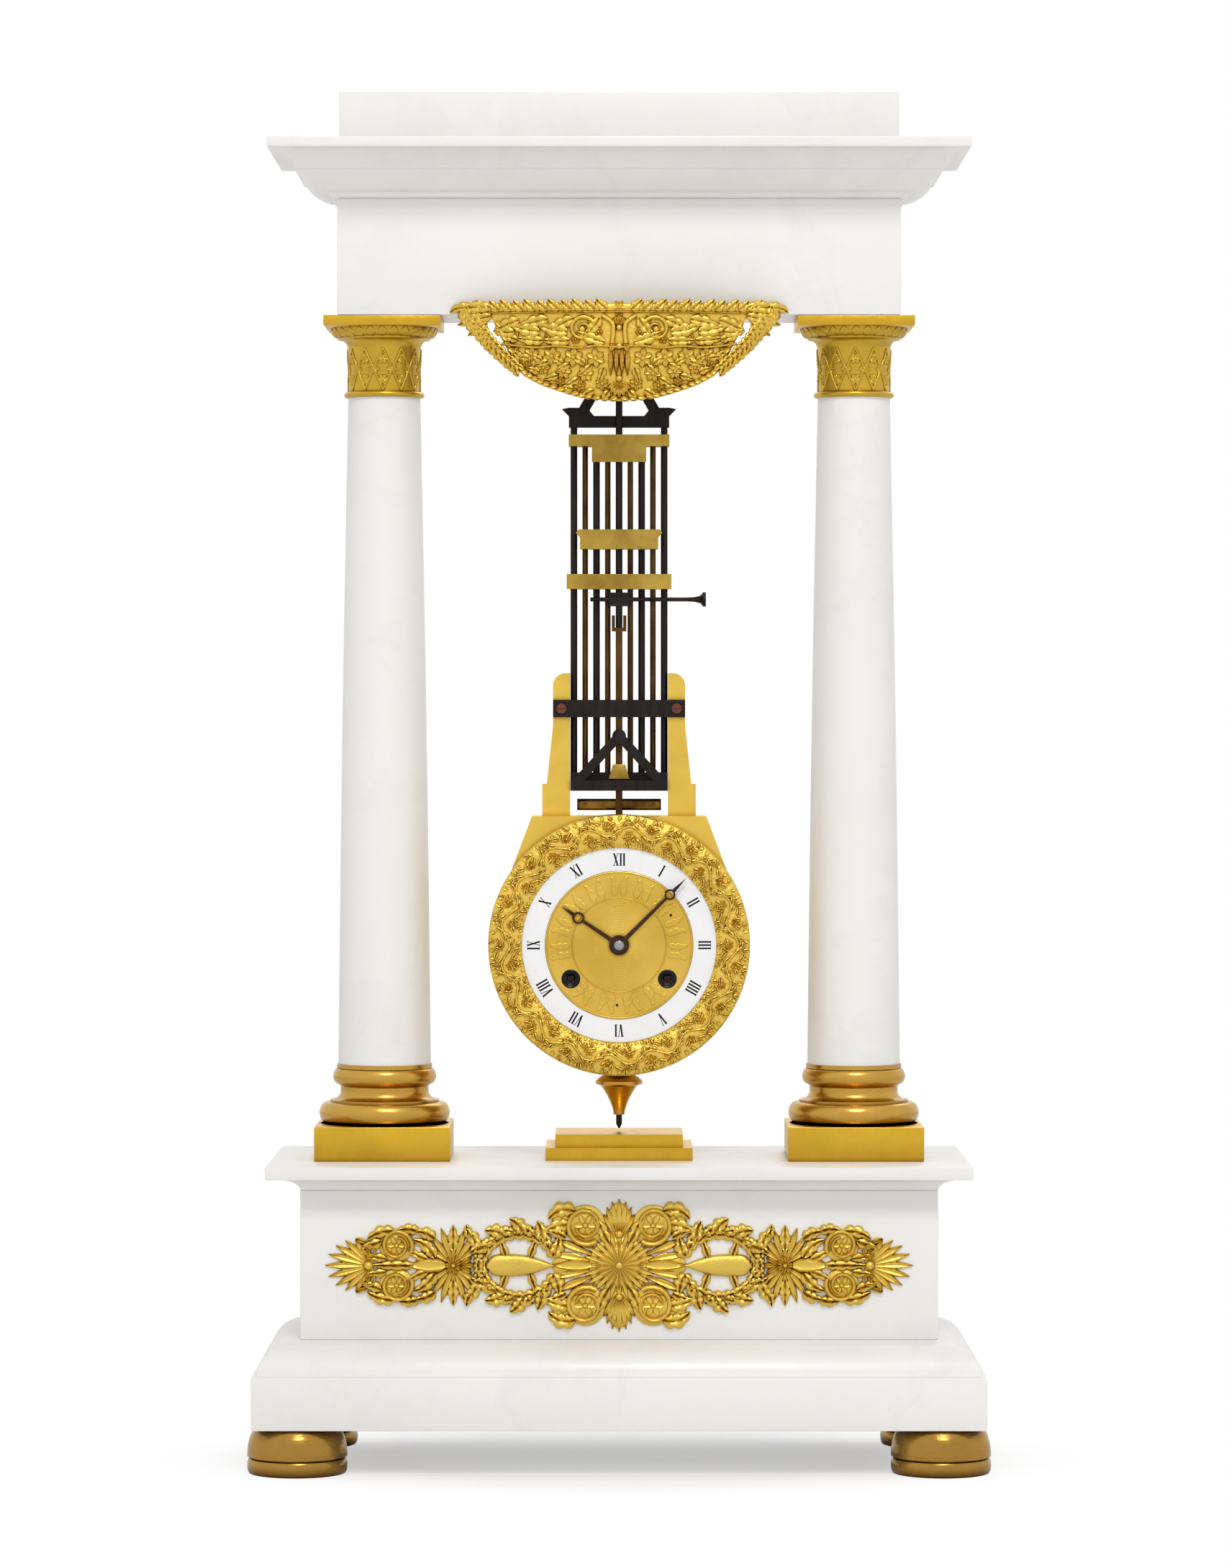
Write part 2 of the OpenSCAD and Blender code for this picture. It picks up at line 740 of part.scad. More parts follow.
// Steel bracket under the frieze: two flanges, two cheeks with V grooves, and
// an arm on the front cheek for the reaction rod
module suspension_bracket() {
  flange_t = 3;
  flange_in = 8;
  flange_out = 18;
  mouth = 7;
  rise = mouth / tan(groove_angle);
  color(STEEL) {
    for (side = [-1, 1])
      translate([side > 0 ? flange_in : -flange_out, -cheek_y1, z_frieze - flange_t])
        cube([flange_out - flange_in, 2 * cheek_y1, flange_t]);
    for (side = [-1, 1])
      translate([0, side > 0 ? 0 : -cheek_y0 - cheek_y1, 0]) depth(cheek_y0, cheek_y1)
        difference() {
          translate([-cheek_half_w, z_arm]) square([2 * cheek_half_w, z_frieze - z_arm]);
          polygon([
            [0, z_knife], [mouth, z_knife + rise], [mouth, z_frieze + 1],
            [-mouth, z_frieze + 1], [-mouth, z_knife + rise]]);
        }
    difference() {
      translate([-5, -cheek_y0, z_arm]) cube([10, cheek_y0 + crutch_y1 + 0.2, arm_h]);
      translate([0, crutch_y, z_arm - 1])
        cylinder(r = reaction_rod_r + free_gap, h = arm_h);
    }
  }
}

// Fixed rod that hangs in front of the gridiron, with the block for the beat
// screw and the pin that steers the crutch
module reaction_rod() {
  w = reaction_block[0];
  h = reaction_block[2];
  top = z_arm + arm_h - 1;
  color(STEEL) difference() {
    union() {
      translate([0, crutch_y, z_beat_screw]) cylinder(r = reaction_rod_r, h = top - z_beat_screw);
      translate([-w / 2, crutch_y0, z_beat_screw - h / 2]) cube(reaction_block);
      translate([0, crutch_y, z_fork - fork_h / 2 - 1])
        cylinder(r = reaction_pin_r, h = z_beat_screw - z_fork + fork_h / 2 + 1);
    }
    translate([-w / 2 - 1, crutch_y, z_beat_screw]) rotate([0, 90, 0])
      cylinder(r = beat_screw_r + running_gap, h = w + 2);
  }
}

// Beat screw with a collar on each side of its block and a trumpet head
module beat_screw() {
  w = reaction_block[0] / 2 + end_shake;
  collar_t = 1.5;
  collar_r = 1.45;
  head_l = 8;
  head_r = 3.2;
  l = beat_screw_l;
  profile = [
    [0, -w - 8], [beat_screw_r, -w - 8], [beat_screw_r, -w - collar_t],
    [collar_r, -w - collar_t], [collar_r, -w], [beat_screw_r, -w],
    [beat_screw_r, w], [collar_r, w], [collar_r, w + collar_t],
    [beat_screw_r, w + collar_t], [beat_screw_r, l - head_l],
    [1.1, l - head_l * 0.6], [1.7, l - head_l * 0.3],
    [head_r, l - 1.2], [head_r, l], [0, l]];
  color(STEEL) translate([0, crutch_y, z_beat_screw]) rotate([0, 90, 0])
    rotate_extrude() polygon(profile);
}

// Pendulum

// Steel hanger: the knife, a triangle of two arms and the bar over the rods
module hanger() {
  bar_h = 5;
  bar_half_d = 3;
  arm_w = 4.5;
  arm_inset = 5;        // from the bar's end to an arm's foot
  spike = 3;            // how far the bar's ends point outward
  spike_h = 3;
  rest_h = 3.6;         // height of the rest at each end of the bar
  rest_in = 6;
  rest_slope = 3;
  hub_half = 4;
  hub_over = 2;         // hub over the knife's back
  foot_x = bar_half_w - arm_inset;
  top = z_knife + knife_h + hub_over;
  z0 = z_hanger_bar;
  z1 = z0 + bar_h;
  rest_x = foot_x - rest_in;
  rise = knife_h * tan(knife_angle);
  color(STEEL) {
    depth(-bar_half_d, bar_half_d) {
      translate([-bar_half_w, z0]) square([2 * bar_half_w, bar_h]);
      polygon([[-bar_half_w, z1], [-bar_half_w - spike, z1 + spike_h],
        [-bar_half_w, z1 + rest_h], [-rest_x - rest_slope, z1 + rest_h], [-rest_x, z1]]);
      polygon([[bar_half_w, z1], [rest_x, z1], [rest_x + rest_slope, z1 + rest_h],
        [bar_half_w, z1 + rest_h], [bar_half_w + spike, z1 + spike_h]]);
      for (side = [-1, 1])
        strip([side * foot_x, z1], [0, z_knife + knife_h / 2], arm_w);
      translate([-hub_half, z_knife]) square([2 * hub_half, top - z_knife]);
    }
    depth(-cheek_y1, cheek_y1)
      polygon([[0, z_knife], [rise, z_knife + knife_h], [-rise, z_knife + knife_h]]);
  }
}

// Outer pair from the hanger bar to the bottom bar, the others from the top bridge
module steel_rods() {
  z0 = z_bottom_bar + bottom_bar_h;
  color(STEEL) for (i = steel_at) {
    top = abs(i) == 4 ? z_hanger_bar : z_top_bridge() - top_bridge_h;
    translate([i * rod_pitch, 0, z0]) cylinder(r = steel_rod_r, h = top - z0);
  }
}

module brass_rods() {
  z0 = z_bottom_bar + bottom_bar_h;
  color(BRASS) for (i = brass_at)
    translate([i * rod_pitch, 0, z0])
      cylinder(r = brass_rod_r, h = z_top_bridge() - top_bridge_h - z0);
}

bar_post_w = 4.2;
top_bridge_h = 5;
cross_bar_h = 8.5;
lower_bar_h = 6.5;
strap_h = 7.6;

function z_top_bridge() = z_knife - top_bridge_drop;

// Bar across the rods: a back bar with the rods' bores, two posts at its ends and
// a front plate, with room between for what hangs in front of the rods
module cross_bar(back_half, post_in, z0, z1, rods) {
  difference() {
    union() {
      depth(-bar_back, bar_back) translate([-back_half, z0]) square([2 * back_half, z1 - z0]);
      for (side = [-1, 1])
        depth(plate_y1, -bar_back)
          translate([side > 0 ? post_in : -back_half, z0])
            square([back_half - post_in, z1 - z0]);
      depth(plate_y0, plate_y1) children();
    }
    for (i = rods)
      translate([i * rod_pitch, 0, z0 - 1])
        cylinder(r = rod_radius(i) + free_gap, h = z1 - z0 + 2);
  }
}

// Radius of the rod at place i: steel in even places, brass in odd ones
function rod_radius(i) = i % 2 == 0 ? steel_rod_r : brass_rod_r;

module top_bridge() {
  z1 = z_top_bridge();
  z0 = z1 - top_bridge_h;
  tab_h = 7;
  tab_half = 2.4 * rod_pitch;
  color(BRASS) cross_bar(bar_half_w, bar_half_w - bar_post_w, z0, z1, [-4, 4]) {
    translate([-bar_half_w, z0]) square([2 * bar_half_w, top_bridge_h]);
    translate([-tab_half, z0 - tab_h]) square([2 * tab_half, tab_h + top_bridge_h / 2]);
  }
}

module upper_cross_bar() {
  z1 = z_knife - upper_bar_drop;
  z0 = z1 - cross_bar_h;
  rod_wall = 1;         // beyond the outer rods
  wing = 1.8;
  wing_rise = 5;
  wing_drop = 1.4;
  wing_top = 0.6;
  half = 3 * rod_pitch + brass_rod_r + rod_wall;
  wing_z0 = z0 + wing_rise;
  wing_z1 = z1 - wing_drop;
  color(BRASS) cross_bar(half, half - bar_post_w, z0, z1, [for (i = [-3:3]) i])
    polygon([[-half, z0], [half, z0], [half, wing_z0], [half + wing, wing_z1],
      [half + wing_top, z1], [-half - wing_top, z1], [-half - wing, wing_z1], [-half, wing_z0]]);
}

module lower_cross_bar() {
  z1 = z_knife - lower_bar_drop;
  z0 = z1 - lower_bar_h;
  plate_over = 0.9;     // front plate beyond the back bar
  half = bar_half_w + plate_over;
  color(BRASS) cross_bar(bar_half_w, bar_half_w - bar_post_w, z0, z1, [for (i = [-4:4]) i])
    translate([-half, z0]) square([2 * half, lower_bar_h]);
}

// Bottom bar of the gridiron, with a steel triangle in front and a stiffening bar that
// hangs below it
module bottom_bar() {
  z0 = z_bottom_bar;
  z1 = z0 + bottom_bar_h;
  face_h = 4.5;
  leg_w = 4;
  leg_in = 0.5;         // a leg's foot inside the outer rods
  leg_rise = 3;
  triangle_h = 24;
  apex_r = 3;
  foot = outer_rod_x - leg_in;
  apex = [0, z0 + triangle_h];
  half = bracket_in_x - bracket_gap;
  low_half = 18.4;      // the stiffening bar and the neck that carries it
  low_h = 5;
  low_back = 2;
  neck_half = 1.2;
  neck_h = 3.6;
  color(STEEL) {
    cross_bar(half, half - bar_post_w, z0, z1, []) {
      translate([-half, z0]) square([2 * half, face_h]);
      strip([-foot, z0 + leg_rise], apex, leg_w);
      strip([foot, z0 + leg_rise], apex, leg_w);
      translate(apex) circle(r = apex_r);
    }
    depth(-low_back, low_back) {
      translate([-neck_half, z0 - neck_h - 1]) square([2 * neck_half, neck_h + 2]);
      translate([-low_half, z0 - neck_h - low_h]) square([2 * low_half, low_h]);
    }
  }
}

// Steel strap that joins the gridiron to the bob's brackets
module bob_strap() {
  z0 = z_bob + strap_rise - strap_h / 2;
  z1 = z0 + strap_h;
  half = bracket_in_x + bracket_w;
  back_half = bracket_in_x - bracket_gap;
  color(STEEL) difference() {
    cross_bar(back_half, back_half - bar_post_w, z0, z1, [for (i = [-4:4]) i])
      translate([-half, z0]) square([2 * half, strap_h]);
    strap_screw_places() bar_y(strap_screw_r + free_gap, plate_y0 - 1, plate_y1 + 1);
  }
}

bracket_gap = 0.2;      // between a bar's end and a bracket
strap_screw_r = 1.2;

// Places a child on the two strap screws
module strap_screw_places() {
  for (side = [-1, 1])
    translate([side * (bracket_in_x + bracket_w / 2), 0, z_bob + strap_rise]) children();
}

module strap_screws() {
  head_r = 2.2;
  head_t = 1.3;
  color(STEEL) strap_screw_places() difference() {
    union() {
      bar_y(strap_screw_r, plate_y0, bracket_y1);
      bar_y(head_r, plate_y0 - head_t, plate_y0);
    }
    translate([-head_r, plate_y0 - head_t - 1, -0.3]) cube([2 * head_r, 1.6, 0.6]);
  }
}

// Bob

// Pear outline of the bob, about the dial centre: a circle and two sides from the
// shoulder corners, which meet it just inside its tangents
module pear(r, half, top) {
  corner = [half, top];
  side_in = 3;          // degrees past the point where the side would only touch
  a = towards([0, 0], corner) - acos(r / norm(corner)) - side_in;
  circle(r = r);
  polygon([[half, top], [-half, top], [-r * cos(a), r * sin(a)], [r * cos(a), r * sin(a)]]);
}

// Pear-shaped case, open at the back, with a round opening for the movement and
// a slot in its top for the crutch
module bob_case() {
  opening_r = case_r - case_rim;
  slot_half = 6;
  slot_side = 1;        // beside the crutch, front and back
  color(GILT) at_dial([0, 0]) difference() {
    depth(case_y0, case_y1) pear(case_r, shoulder_w, shoulder_h);
    depth(case_y0 + case_wall, case_y1 + 1)
      pear(case_r - case_wall, shoulder_w - case_wall, shoulder_h - case_wall);
    bar_y(opening_r, case_y0 - 1, case_y0 + case_wall + 1);
    translate([-slot_half, crutch_y0 - slot_side, 0])
      cube([2 * slot_half, crutch_y1 - crutch_y0 + 2 * slot_side, shoulder_h + case_r]);
  }
}

// Two brackets that stand on the case's shoulders and carry it from the strap
module bob_brackets() {
  top = strap_rise + bracket_top;
  foot_spread = 2.7;
  bracket_foot_h = 14;
  round_r = 5.5;
  out_x = bracket_in_x + bracket_w;
  low_x = out_x + foot_spread;
  step_z = shoulder_h + bracket_foot_h;
  color(GILT) difference() {
    at_dial([0, 0]) depth(bracket_y0, bracket_y1) for (side = [-1, 1]) scale([side, 1]) {
      polygon([
        [bracket_in_x, shoulder_h], [bracket_foot_x, shoulder_h], [bracket_foot_x, step_z],
        [low_x, step_z], [out_x, strap_rise - strap_h], [out_x, top - round_r],
        [bracket_in_x, top - round_r]]);
      intersection() {
        translate([out_x - round_r, top - round_r]) circle(r = round_r);
        translate([bracket_in_x, top - 2 * round_r]) square([bracket_w, 2 * round_r]);
      }
      translate([bracket_in_x, top - round_r - 1])
        square([bracket_w - round_r, round_r + 1]);
    }
    strap_screw_places() bar_y(strap_screw_r + free_gap, bracket_y0 - 1, bracket_y1 + 1);
  }
}

// Ornamented bezel: a rounded band with a bead at each edge
module bezel_ring() {
  edge_w = 2;           // plain edge inside and outside the crowned band
  crown_h = 1.8;
  bead_w = 1.4;
  bead_round = 0.6;
  rim_in = 1.2;
  rim_t = 3;
  seat = case_y0 - dial_plate_t;
  lip_r = dial_plate_r() + free_gap;
  band = bezel_r - bezel_in_r;
  crown = [for (i = [0:12])
    let (t = i / 12)
    [bezel_in_r + edge_w + (band - 2 * edge_w) * t, bezel_y0 + crown_h * (1 - sin(180 * t))]];
  profile = concat(
    [[bezel_in_r, seat], [bezel_in_r, bezel_y0 + bead_w],
     [bezel_in_r + bead_round, bezel_y0 + bead_round],
     [bezel_in_r + bead_w, bezel_y0 + bead_round]],
    crown,
    [[bezel_r - rim_in, bezel_y0 + crown_h], [bezel_r, bezel_y0 + rim_t], [bezel_r, case_y0],
     [lip_r, case_y0], [lip_r, seat]]);
  color(GILT) at_dial([0, 0]) turned_y(profile);
}

// Radius of the dial's back plate, which rests on the rim of the case
dial_plate_in = 0.6;
function dial_plate_r() = case_r - dial_plate_in;

module chapter_ring() {
  seat = case_y0 - dial_plate_t;
  color(ENAMEL) at_dial([0, 0]) difference() {
    bar_y(bezel_in_r - free_gap, seat - chapter_t, seat);
    bar_y(chapter_in_r + free_gap, seat - chapter_t - 1, seat + 1);
  }
}

// Gilt dial: a back plate, a raised centre and three feet on the movement
module dial_centre() {
  seat = case_y0 - dial_plate_t;
  color(GILT) at_dial([0, 0]) difference() {
    union() {
      bar_y(dial_plate_r(), seat, case_y0);
      bar_y(chapter_in_r, dial_y0, seat);
      for (a = dial_foot_at)
        translate([dial_foot_ring_r * cos(a), 0, dial_foot_ring_r * sin(a)])
          bar_y(dial_foot_r, case_y0, plate_front - plate_t);
    }
    bar_y(hour_pipe_r + touch_gap, dial_y0 - 1, case_y0 + 1);
    for (p = [going_at, strike_at])
      translate([p[0], 0, p[1]]) bar_y(winding_hole_r, dial_y0 - 1, case_y0 + 1);
  }
}

module rear_cover() {
  color(GILT) at_dial([0, 0]) depth(case_y1, case_y1 + case_wall)
    pear(case_r, shoulder_w, shoulder_h);
}

// Turned finial, cut to sit on the round of the case
module bob_finial() {
  cap_r = 10.3;
  cap_drop = 4;         // from the case down to the cap
  cap_round = 1.2;
  cap_t = 3.4;
  neck_r = 6;
  neck_in = 3;          // how far the neck's blank reaches into the case
  neck_flare = 2;
  cone_in = 2.4;
  tip_r = 2.4;
  low = pointer_joint_z();
  top = -case_r + neck_in;
  cap_z = -case_r - cap_drop;
  cone_z = cap_z - cap_t;
  mid = case_y0 + case_depth / 2;
  profile = concat(
    [[0, top], [neck_r, top], [neck_r, cap_z + neck_flare], [cap_r - cap_round, cap_z],
     [cap_r, cap_z - cap_round], [cap_r, cap_z - 2 * cap_round], [cap_r - cone_in, cone_z]],
    [for (i = [1:8])
      let (t = i / 8)
      [tip_r + (cap_r - cone_in - tip_r) * pow(1 - t, 1.6), cone_z + (low - cone_z) * t]],
    [[0, low]]);
  color(GILT) at_dial([0, 0]) difference() {
    translate([0, mid, 0]) rotate_extrude() polygon(profile);
    bar_y(case_r, case_y0 - 1, case_y1 + 1);
  }
}

// Height of the joint between finial and tip, from the dial centre
pointer_tip_l = 6;
function pointer_joint_z() = -case_r - pointer_l + pointer_tip_l;

module pointer_tip() {
  r = 1.3;
  point_r = 0.4;
  point_l = 2;
  mid = case_y0 + case_depth / 2;
  color(STEEL) translate([0, mid, z_bob + pointer_joint_z() - pointer_tip_l]) {
    translate([0, 0, point_l]) cylinder(r = r, h = pointer_tip_l - point_l);
    cylinder(r1 = point_r, r2 = r, h = point_l);
  }
}

// Movement

// Outline of a gear with n teeth, one of them at the angle given
module gear_outline(n, m, share, add, ded, tooth_at) {
  rp = n * m / 2;
  rb = rp * cos(pressure_angle);
  rr = rp - ded * m;
  rt = rp + add * m;
  flank = rb > rr + 0.02 ? [rr, rb, rp, rt] : [rr, rp, rt];
  last = len(flank) - 1;
  polygon([for (i = [0:n - 1])
    let (c = tooth_at + 360 * i / n)
    each concat(
      [for (r = flank) polar(r, c - tooth_half(n, share, rp, rb, r))],
      [for (k = [last:-1:0]) polar(flank[k], c + tooth_half(n, share, rp, rb, flank[k]))])]);
}

// Thin wheel with a rim and four crossings
module wheel(level, n, m, tooth_at, hub_r = 2.6) {
  rim_r = n * m / 2 - 1.1 * m - 1.4;
  depth(level[0], level[1]) {
    difference() {
      gear_outline(n, m, 0.44, 0.8, 1.1, tooth_at);
      if (rim_r > hub_r + 1.5) circle(r = rim_r);
    }
    if (rim_r > hub_r + 1.5) {
      circle(r = hub_r);
      for (a = [0, 90]) rotate(a) square([2 * rim_r + 0.4, 1.6], center = true);
    }
  }
}

// Steel pinion with a gap between two leaves at the angle given
module pinion(level, n, m, gap_at) {
  depth(level[0], level[1]) gear_outline(n, m, 0.40, 0.7, 1.15, gap_at + 180 / n);
}

// Arbor between the plates, with a pivot in each
module arbor() {
  bar_y(arbor_r, plate_front + end_shake, plate_back - end_shake);
  bar_y(pivot_r, plate_front - plate_t, plate_back + plate_t);
}

// Pivot holes of a plate, from y0 to y1
module pivot_holes(y0, y1) {
  for (p = train_at) translate([p[0], 0, p[1]]) bar_y(pivot_r + running_gap, y0 - 1, y1 + 1);
}

module front_plate() {
  y1 = plate_front;
  y0 = y1 - plate_t;
  color(BRASS) at_dial([0, 0]) {
    difference() {
      bar_y(plate_r, y0, y1);
      pivot_holes(y0, y1);
      bar_y(centre_arbor_r + running_gap, y0 - 1, y1 + 1);
      for (p = [going_at, strike_at])
        translate([p[0], 0, p[1]]) bar_y(winding_arbor_r + running_gap, y0 - 1, y1 + 1);
    }
    translate([minute_at[0], 0, minute_at[1]]) bar_y(motion_post_r, hour_level[0], y0);
  }
}

motion_post_r = 1.1;

module back_plate() {
  y0 = plate_back;
  y1 = y0 + plate_t;
  color(BRASS) at_dial([0, 0]) {
    difference() {
      bar_y(plate_r, y0, y1);
      pivot_holes(y0, y1);
      translate([hammer_at[0], 0, hammer_at[1]])
        bar_y(arbor_r + running_gap, y0 - 1, y1 + 1);
      for (p = [centre_at, going_at, strike_at])
        translate([p[0], 0, p[1]]) bar_y(centre_arbor_r + running_gap, y0 - 1, y1 + 1);
    }
    translate([bell_at[0], 0, bell_at[1]])
      bar_y(bell_post_r, y1, bell_seat_y);
  }
}

module pillars() {
  color(BRASS) at_dial([0, 0]) for (a = pillar_at)
    translate([pillar_ring_r * cos(a), 0, pillar_ring_r * sin(a)])
      bar_y(pillar_r, plate_front, plate_back);
}

// Shallow bell, with a flat inside its crown that rests on the post
module bell() {
  steps = bell_steps;
  outside = [for (i = [0:steps])
    let (a = 90 * i / steps)
    [bell_r * cos(a), bell_y0 + bell_h * sin(a)]];
  inside = [for (i = [steps - 1:-1:0])
    let (a = 90 * i / steps)
    [(bell_r - bell_wall) * cos(a), bell_y0 + (bell_h - bell_wall) * sin(a)]];
  color(BRASS) at_dial(bell_at) turned_y(concat(outside, [[0, bell_seat_y]], inside));
}

// Spring barrel: a hollow drum with the great wheel at its back
module barrel(at, pinion_at) {
  wall = 1.2;
  color(BRASS) at_dial(at) difference() {
    union() {
      bar_y(barrel_r, barrel_level[0], barrel_level[1]);
      depth(great_level[0], great_level[1])
        gear_outline(barrel_teeth, barrel_module, 0.44, 0.8, 1.1, towards(at, pinion_at));
    }
    difference() {
      bar_y(barrel_r - wall, barrel_level[0] + wall, great_level[1] - wall);
      bar_y(winding_arbor_r + 2, barrel_level[0], great_level[1]);
    }
    bar_y(winding_arbor_r + running_gap, barrel_level[0] - 1, great_level[1] + 1);
  }
}

module going_barrel() {
  barrel(going_at, intermediate_at);
}

module strike_barrel() {
  barrel(strike_at, second_at);
}

// Barrel arbor with its winding square behind the dial's hole
module winding_arbor(at) {
  shoulder = plate_front - plate_t - 1;
  color(STEEL) at_dial(at) {
    bar_y(winding_arbor_r, shoulder, plate_back - end_shake);
    bar_y(centre_arbor_r, plate_back - 1, plate_back + plate_t);
    depth(winding_end_y, shoulder) square(winding_square, center = true);
  }
}

module going_arbor() {
  winding_arbor(going_at);
}

module strike_arbor() {
  winding_arbor(strike_at);
}

module intermediate_wheel() {
  color(BRASS) at_dial(intermediate_at) {
    arbor();
    wheel(second_level, intermediate_teeth, intermediate_module,
      towards(intermediate_at, centre_at));
    pinion(great_pinion_level, barrel_pinion, barrel_module,
      towards(intermediate_at, going_at));
  }
}

// Centre arbor, which comes through the front plate to carry the hands
module centre_wheel() {
  color(BRASS) at_dial(centre_at) {
    bar_y(centre_arbor_r, minute_hand_y[0], plate_back + plate_t);
    wheel(centre_level, centre_teeth, centre_module, towards(centre_at, third_at));
    pinion(second_pinion_level, centre_pinion, intermediate_module,
      towards(centre_at, intermediate_at));
  }
}

module third_wheel() {
  color(BRASS) at_dial(third_at) {
    arbor();
    wheel(third_level, third_teeth, third_module, towards(third_at, escape_at));
    pinion(centre_pinion_level, third_pinion, centre_module, towards(third_at, centre_at));
  }
}

// Escape wheel with leaning pointed teeth
module escape_wheel() {
  root_r = escape_r - 1.3;
  step = 360 / escape_teeth;
  color(BRASS) at_dial(escape_at) {
    arbor();
    depth(escape_level[0], escape_level[1]) {
      difference() {
        polygon([for (i = [0:escape_teeth - 1])
          each [polar(root_r, i * step), polar(escape_r, (i + 0.62) * step),
            polar(escape_r, (i + 0.72) * step), polar(root_r, (i + 0.7) * step)]]);
        circle(r = root_r - 1.4);
      }
      circle(r = 2.2);
      for (a = [0, 90]) rotate(a) square([2 * root_r - 2, 1.3], center = true);
    }
    pinion(third_pinion_level, escape_pinion, third_module, towards(escape_at, third_at));
  }
}

// Anchor with two pallets, held clear of the escape wheel's tips over its whole swing
module anchor() {
  reach = escape_r + 1.4;
  pallet_r = 1.2;
  pallet_at = [for (side = [-1, 1]) escape_at + polar(reach + pallet_r, 90 - side * 50) - anchor_at];
  color(STEEL) at_dial(anchor_at) {
    arbor();
    depth(escape_level[0] - 0.2, escape_level[1] + 0.2) {
      circle(r = 2.2);
      for (p = pallet_at) {
        strip([0, 0], p, 1.8);
        translate(p) circle(r = pallet_r);
      }
    }
  }
}

// Crutch on the anchor's arbor, which reaches up to a fork round the reaction pin
module crutch() {
  rise = z_fork - z_bob - anchor_at[1];
  in_x = reaction_pin_r + fork_gap;
  prong = 1.4;
  yoke = rise - fork_h / 2 - 3;
  color(BRASS) at_dial(anchor_at) difference() {
    depth(crutch_y0 + 0.2, crutch_y1 - 0.2) {
      circle(r = 2.4);
      polygon([[-1.6, 0], [1.6, 0], [1.2, yoke], [-1.2, yoke]]);
      translate([-in_x - prong, yoke]) square([2 * (in_x + prong), 1.6]);
      for (side = [-1, 1])
        translate([side > 0 ? in_x : -in_x - prong, yoke]) square([prong, rise + fork_h / 2 - yoke]);
    }
    bar_y(arbor_r + running_gap, crutch_y0 - 1, crutch_y1 + 1);
  }
}

// Motion work and hands

// Hand with a pierced ring near its tip, pointing at an angle clockwise from twelve
module hand_outline(l, ring_at, ring_r, clock_angle) {
  rotate(-clock_angle) {
    polygon([[-1, 0], [1, 0], [0.6, ring_at - ring_r + 0.4], [-0.6, ring_at - ring_r + 0.4]]);
    translate([0, ring_at]) difference() {
      circle(r = ring_r);
      circle(r = ring_r - 0.8);
    }
    polygon([[-0.9, ring_at + ring_r - 0.5], [0.9, ring_at + ring_r - 0.5], [0, l]]);
  }
}

// Minute hand on the cannon, whose pinion drives the motion work
module minute_hand() {
  bore = centre_arbor_r + running_gap;
  color(BLUED) at_dial(centre_at) difference() {
    union() {
      bar_y(cannon_r, minute_hand_y[1], cannon_level[1]);
      pinion(cannon_level, cannon_teeth, motion_module, towards(centre_at, minute_at));
      bar_y(hand_collet_r - 1, minute_hand_y[0] - 0.5, minute_hand_y[1]);
      depth(minute_hand_y[0], minute_hand_y[1])
        hand_outline(minute_hand_l, minute_hand_l - 10.3, 2.4, minute_clock_angle);
    }
    bar_y(bore, minute_hand_y[0], cannon_level[1] + 1);
  }
}

module minute_wheel() {
  color(BRASS) at_dial(minute_at) difference() {
    union() {
      wheel(cannon_level, minute_teeth, motion_module, towards(minute_at, centre_at));
      pinion([hour_level[0], cannon_level[0]], minute_pinion, hour_module,
        towards(minute_at, centre_at));
    }
    bar_y(motion_post_r + running_gap, hour_level[0] - 1, cannon_level[1] + 1);
  }
}

// Hour hand on its pipe, with the hour wheel behind the dial
module hour_hand() {
  color(BLUED) at_dial(centre_at) difference() {
    union() {
      bar_y(hour_pipe_r, hour_hand_y[0], hour_level[1]);
      wheel(hour_level, hour_teeth, hour_module, towards(centre_at, minute_at), 4.5);
      bar_y(hand_collet_r, hour_hand_y[0], hour_hand_y[1]);
      depth(hour_hand_y[0], hour_hand_y[1])
        hand_outline(hour_hand_l, hour_hand_l - 9, 2.6, hour_clock_angle);
    }
    bar_y(cannon_r + running_gap, hour_hand_y[0] - 1, hour_level[1] + 1);
  }
}

// Striking train

module strike_second_wheel() {
  color(BRASS) at_dial(second_at) {
    arbor();
    wheel(second_level, second_teeth, second_module, towards(second_at, pin_at));
    pinion(great_pinion_level, barrel_pinion, barrel_module, towards(second_at, strike_at));
  }
}

// Wheel with the pins that lift the hammer
module pin_wheel() {
  color(BRASS) at_dial(pin_at) {
    arbor();
    wheel(pin_level, pin_teeth, pin_module, towards(pin_at, warning_at), pin_ring_r + 0.9);
    pinion(second_pinion_level, pin_pinion, second_module, towards(pin_at, second_at));
    for (i = [0:pin_count - 1]) {
      p = polar(pin_ring_r, 360 * i / pin_count + 10);
      translate([p[0], 0, p[1]]) bar_y(pin_r, pin_level[1] - 0.5, pin_end);
    }
  }
}

module warning_wheel() {
  color(BRASS) at_dial(warning_at) {
    arbor();
    wheel(warning_level, warning_teeth, warning_module, towards(warning_at, fly_at), 2);
    pinion(pin_pinion_level, warning_pinion, pin_module, towards(warning_at, pin_at));
  }
}

module fly() {
  vane = [10, 7.5, 0.6];
  color(BRASS) at_dial(fly_at) {
    arbor();
    pinion(warning_pinion_level, fly_pinion, warning_module, towards(fly_at, warning_at));
    translate([-vane[0] / 2, -4, -vane[2] / 2]) cube(vane);
    bar_y(arbor_r + 0.5, -4, -4 + vane[1]);
  }
}

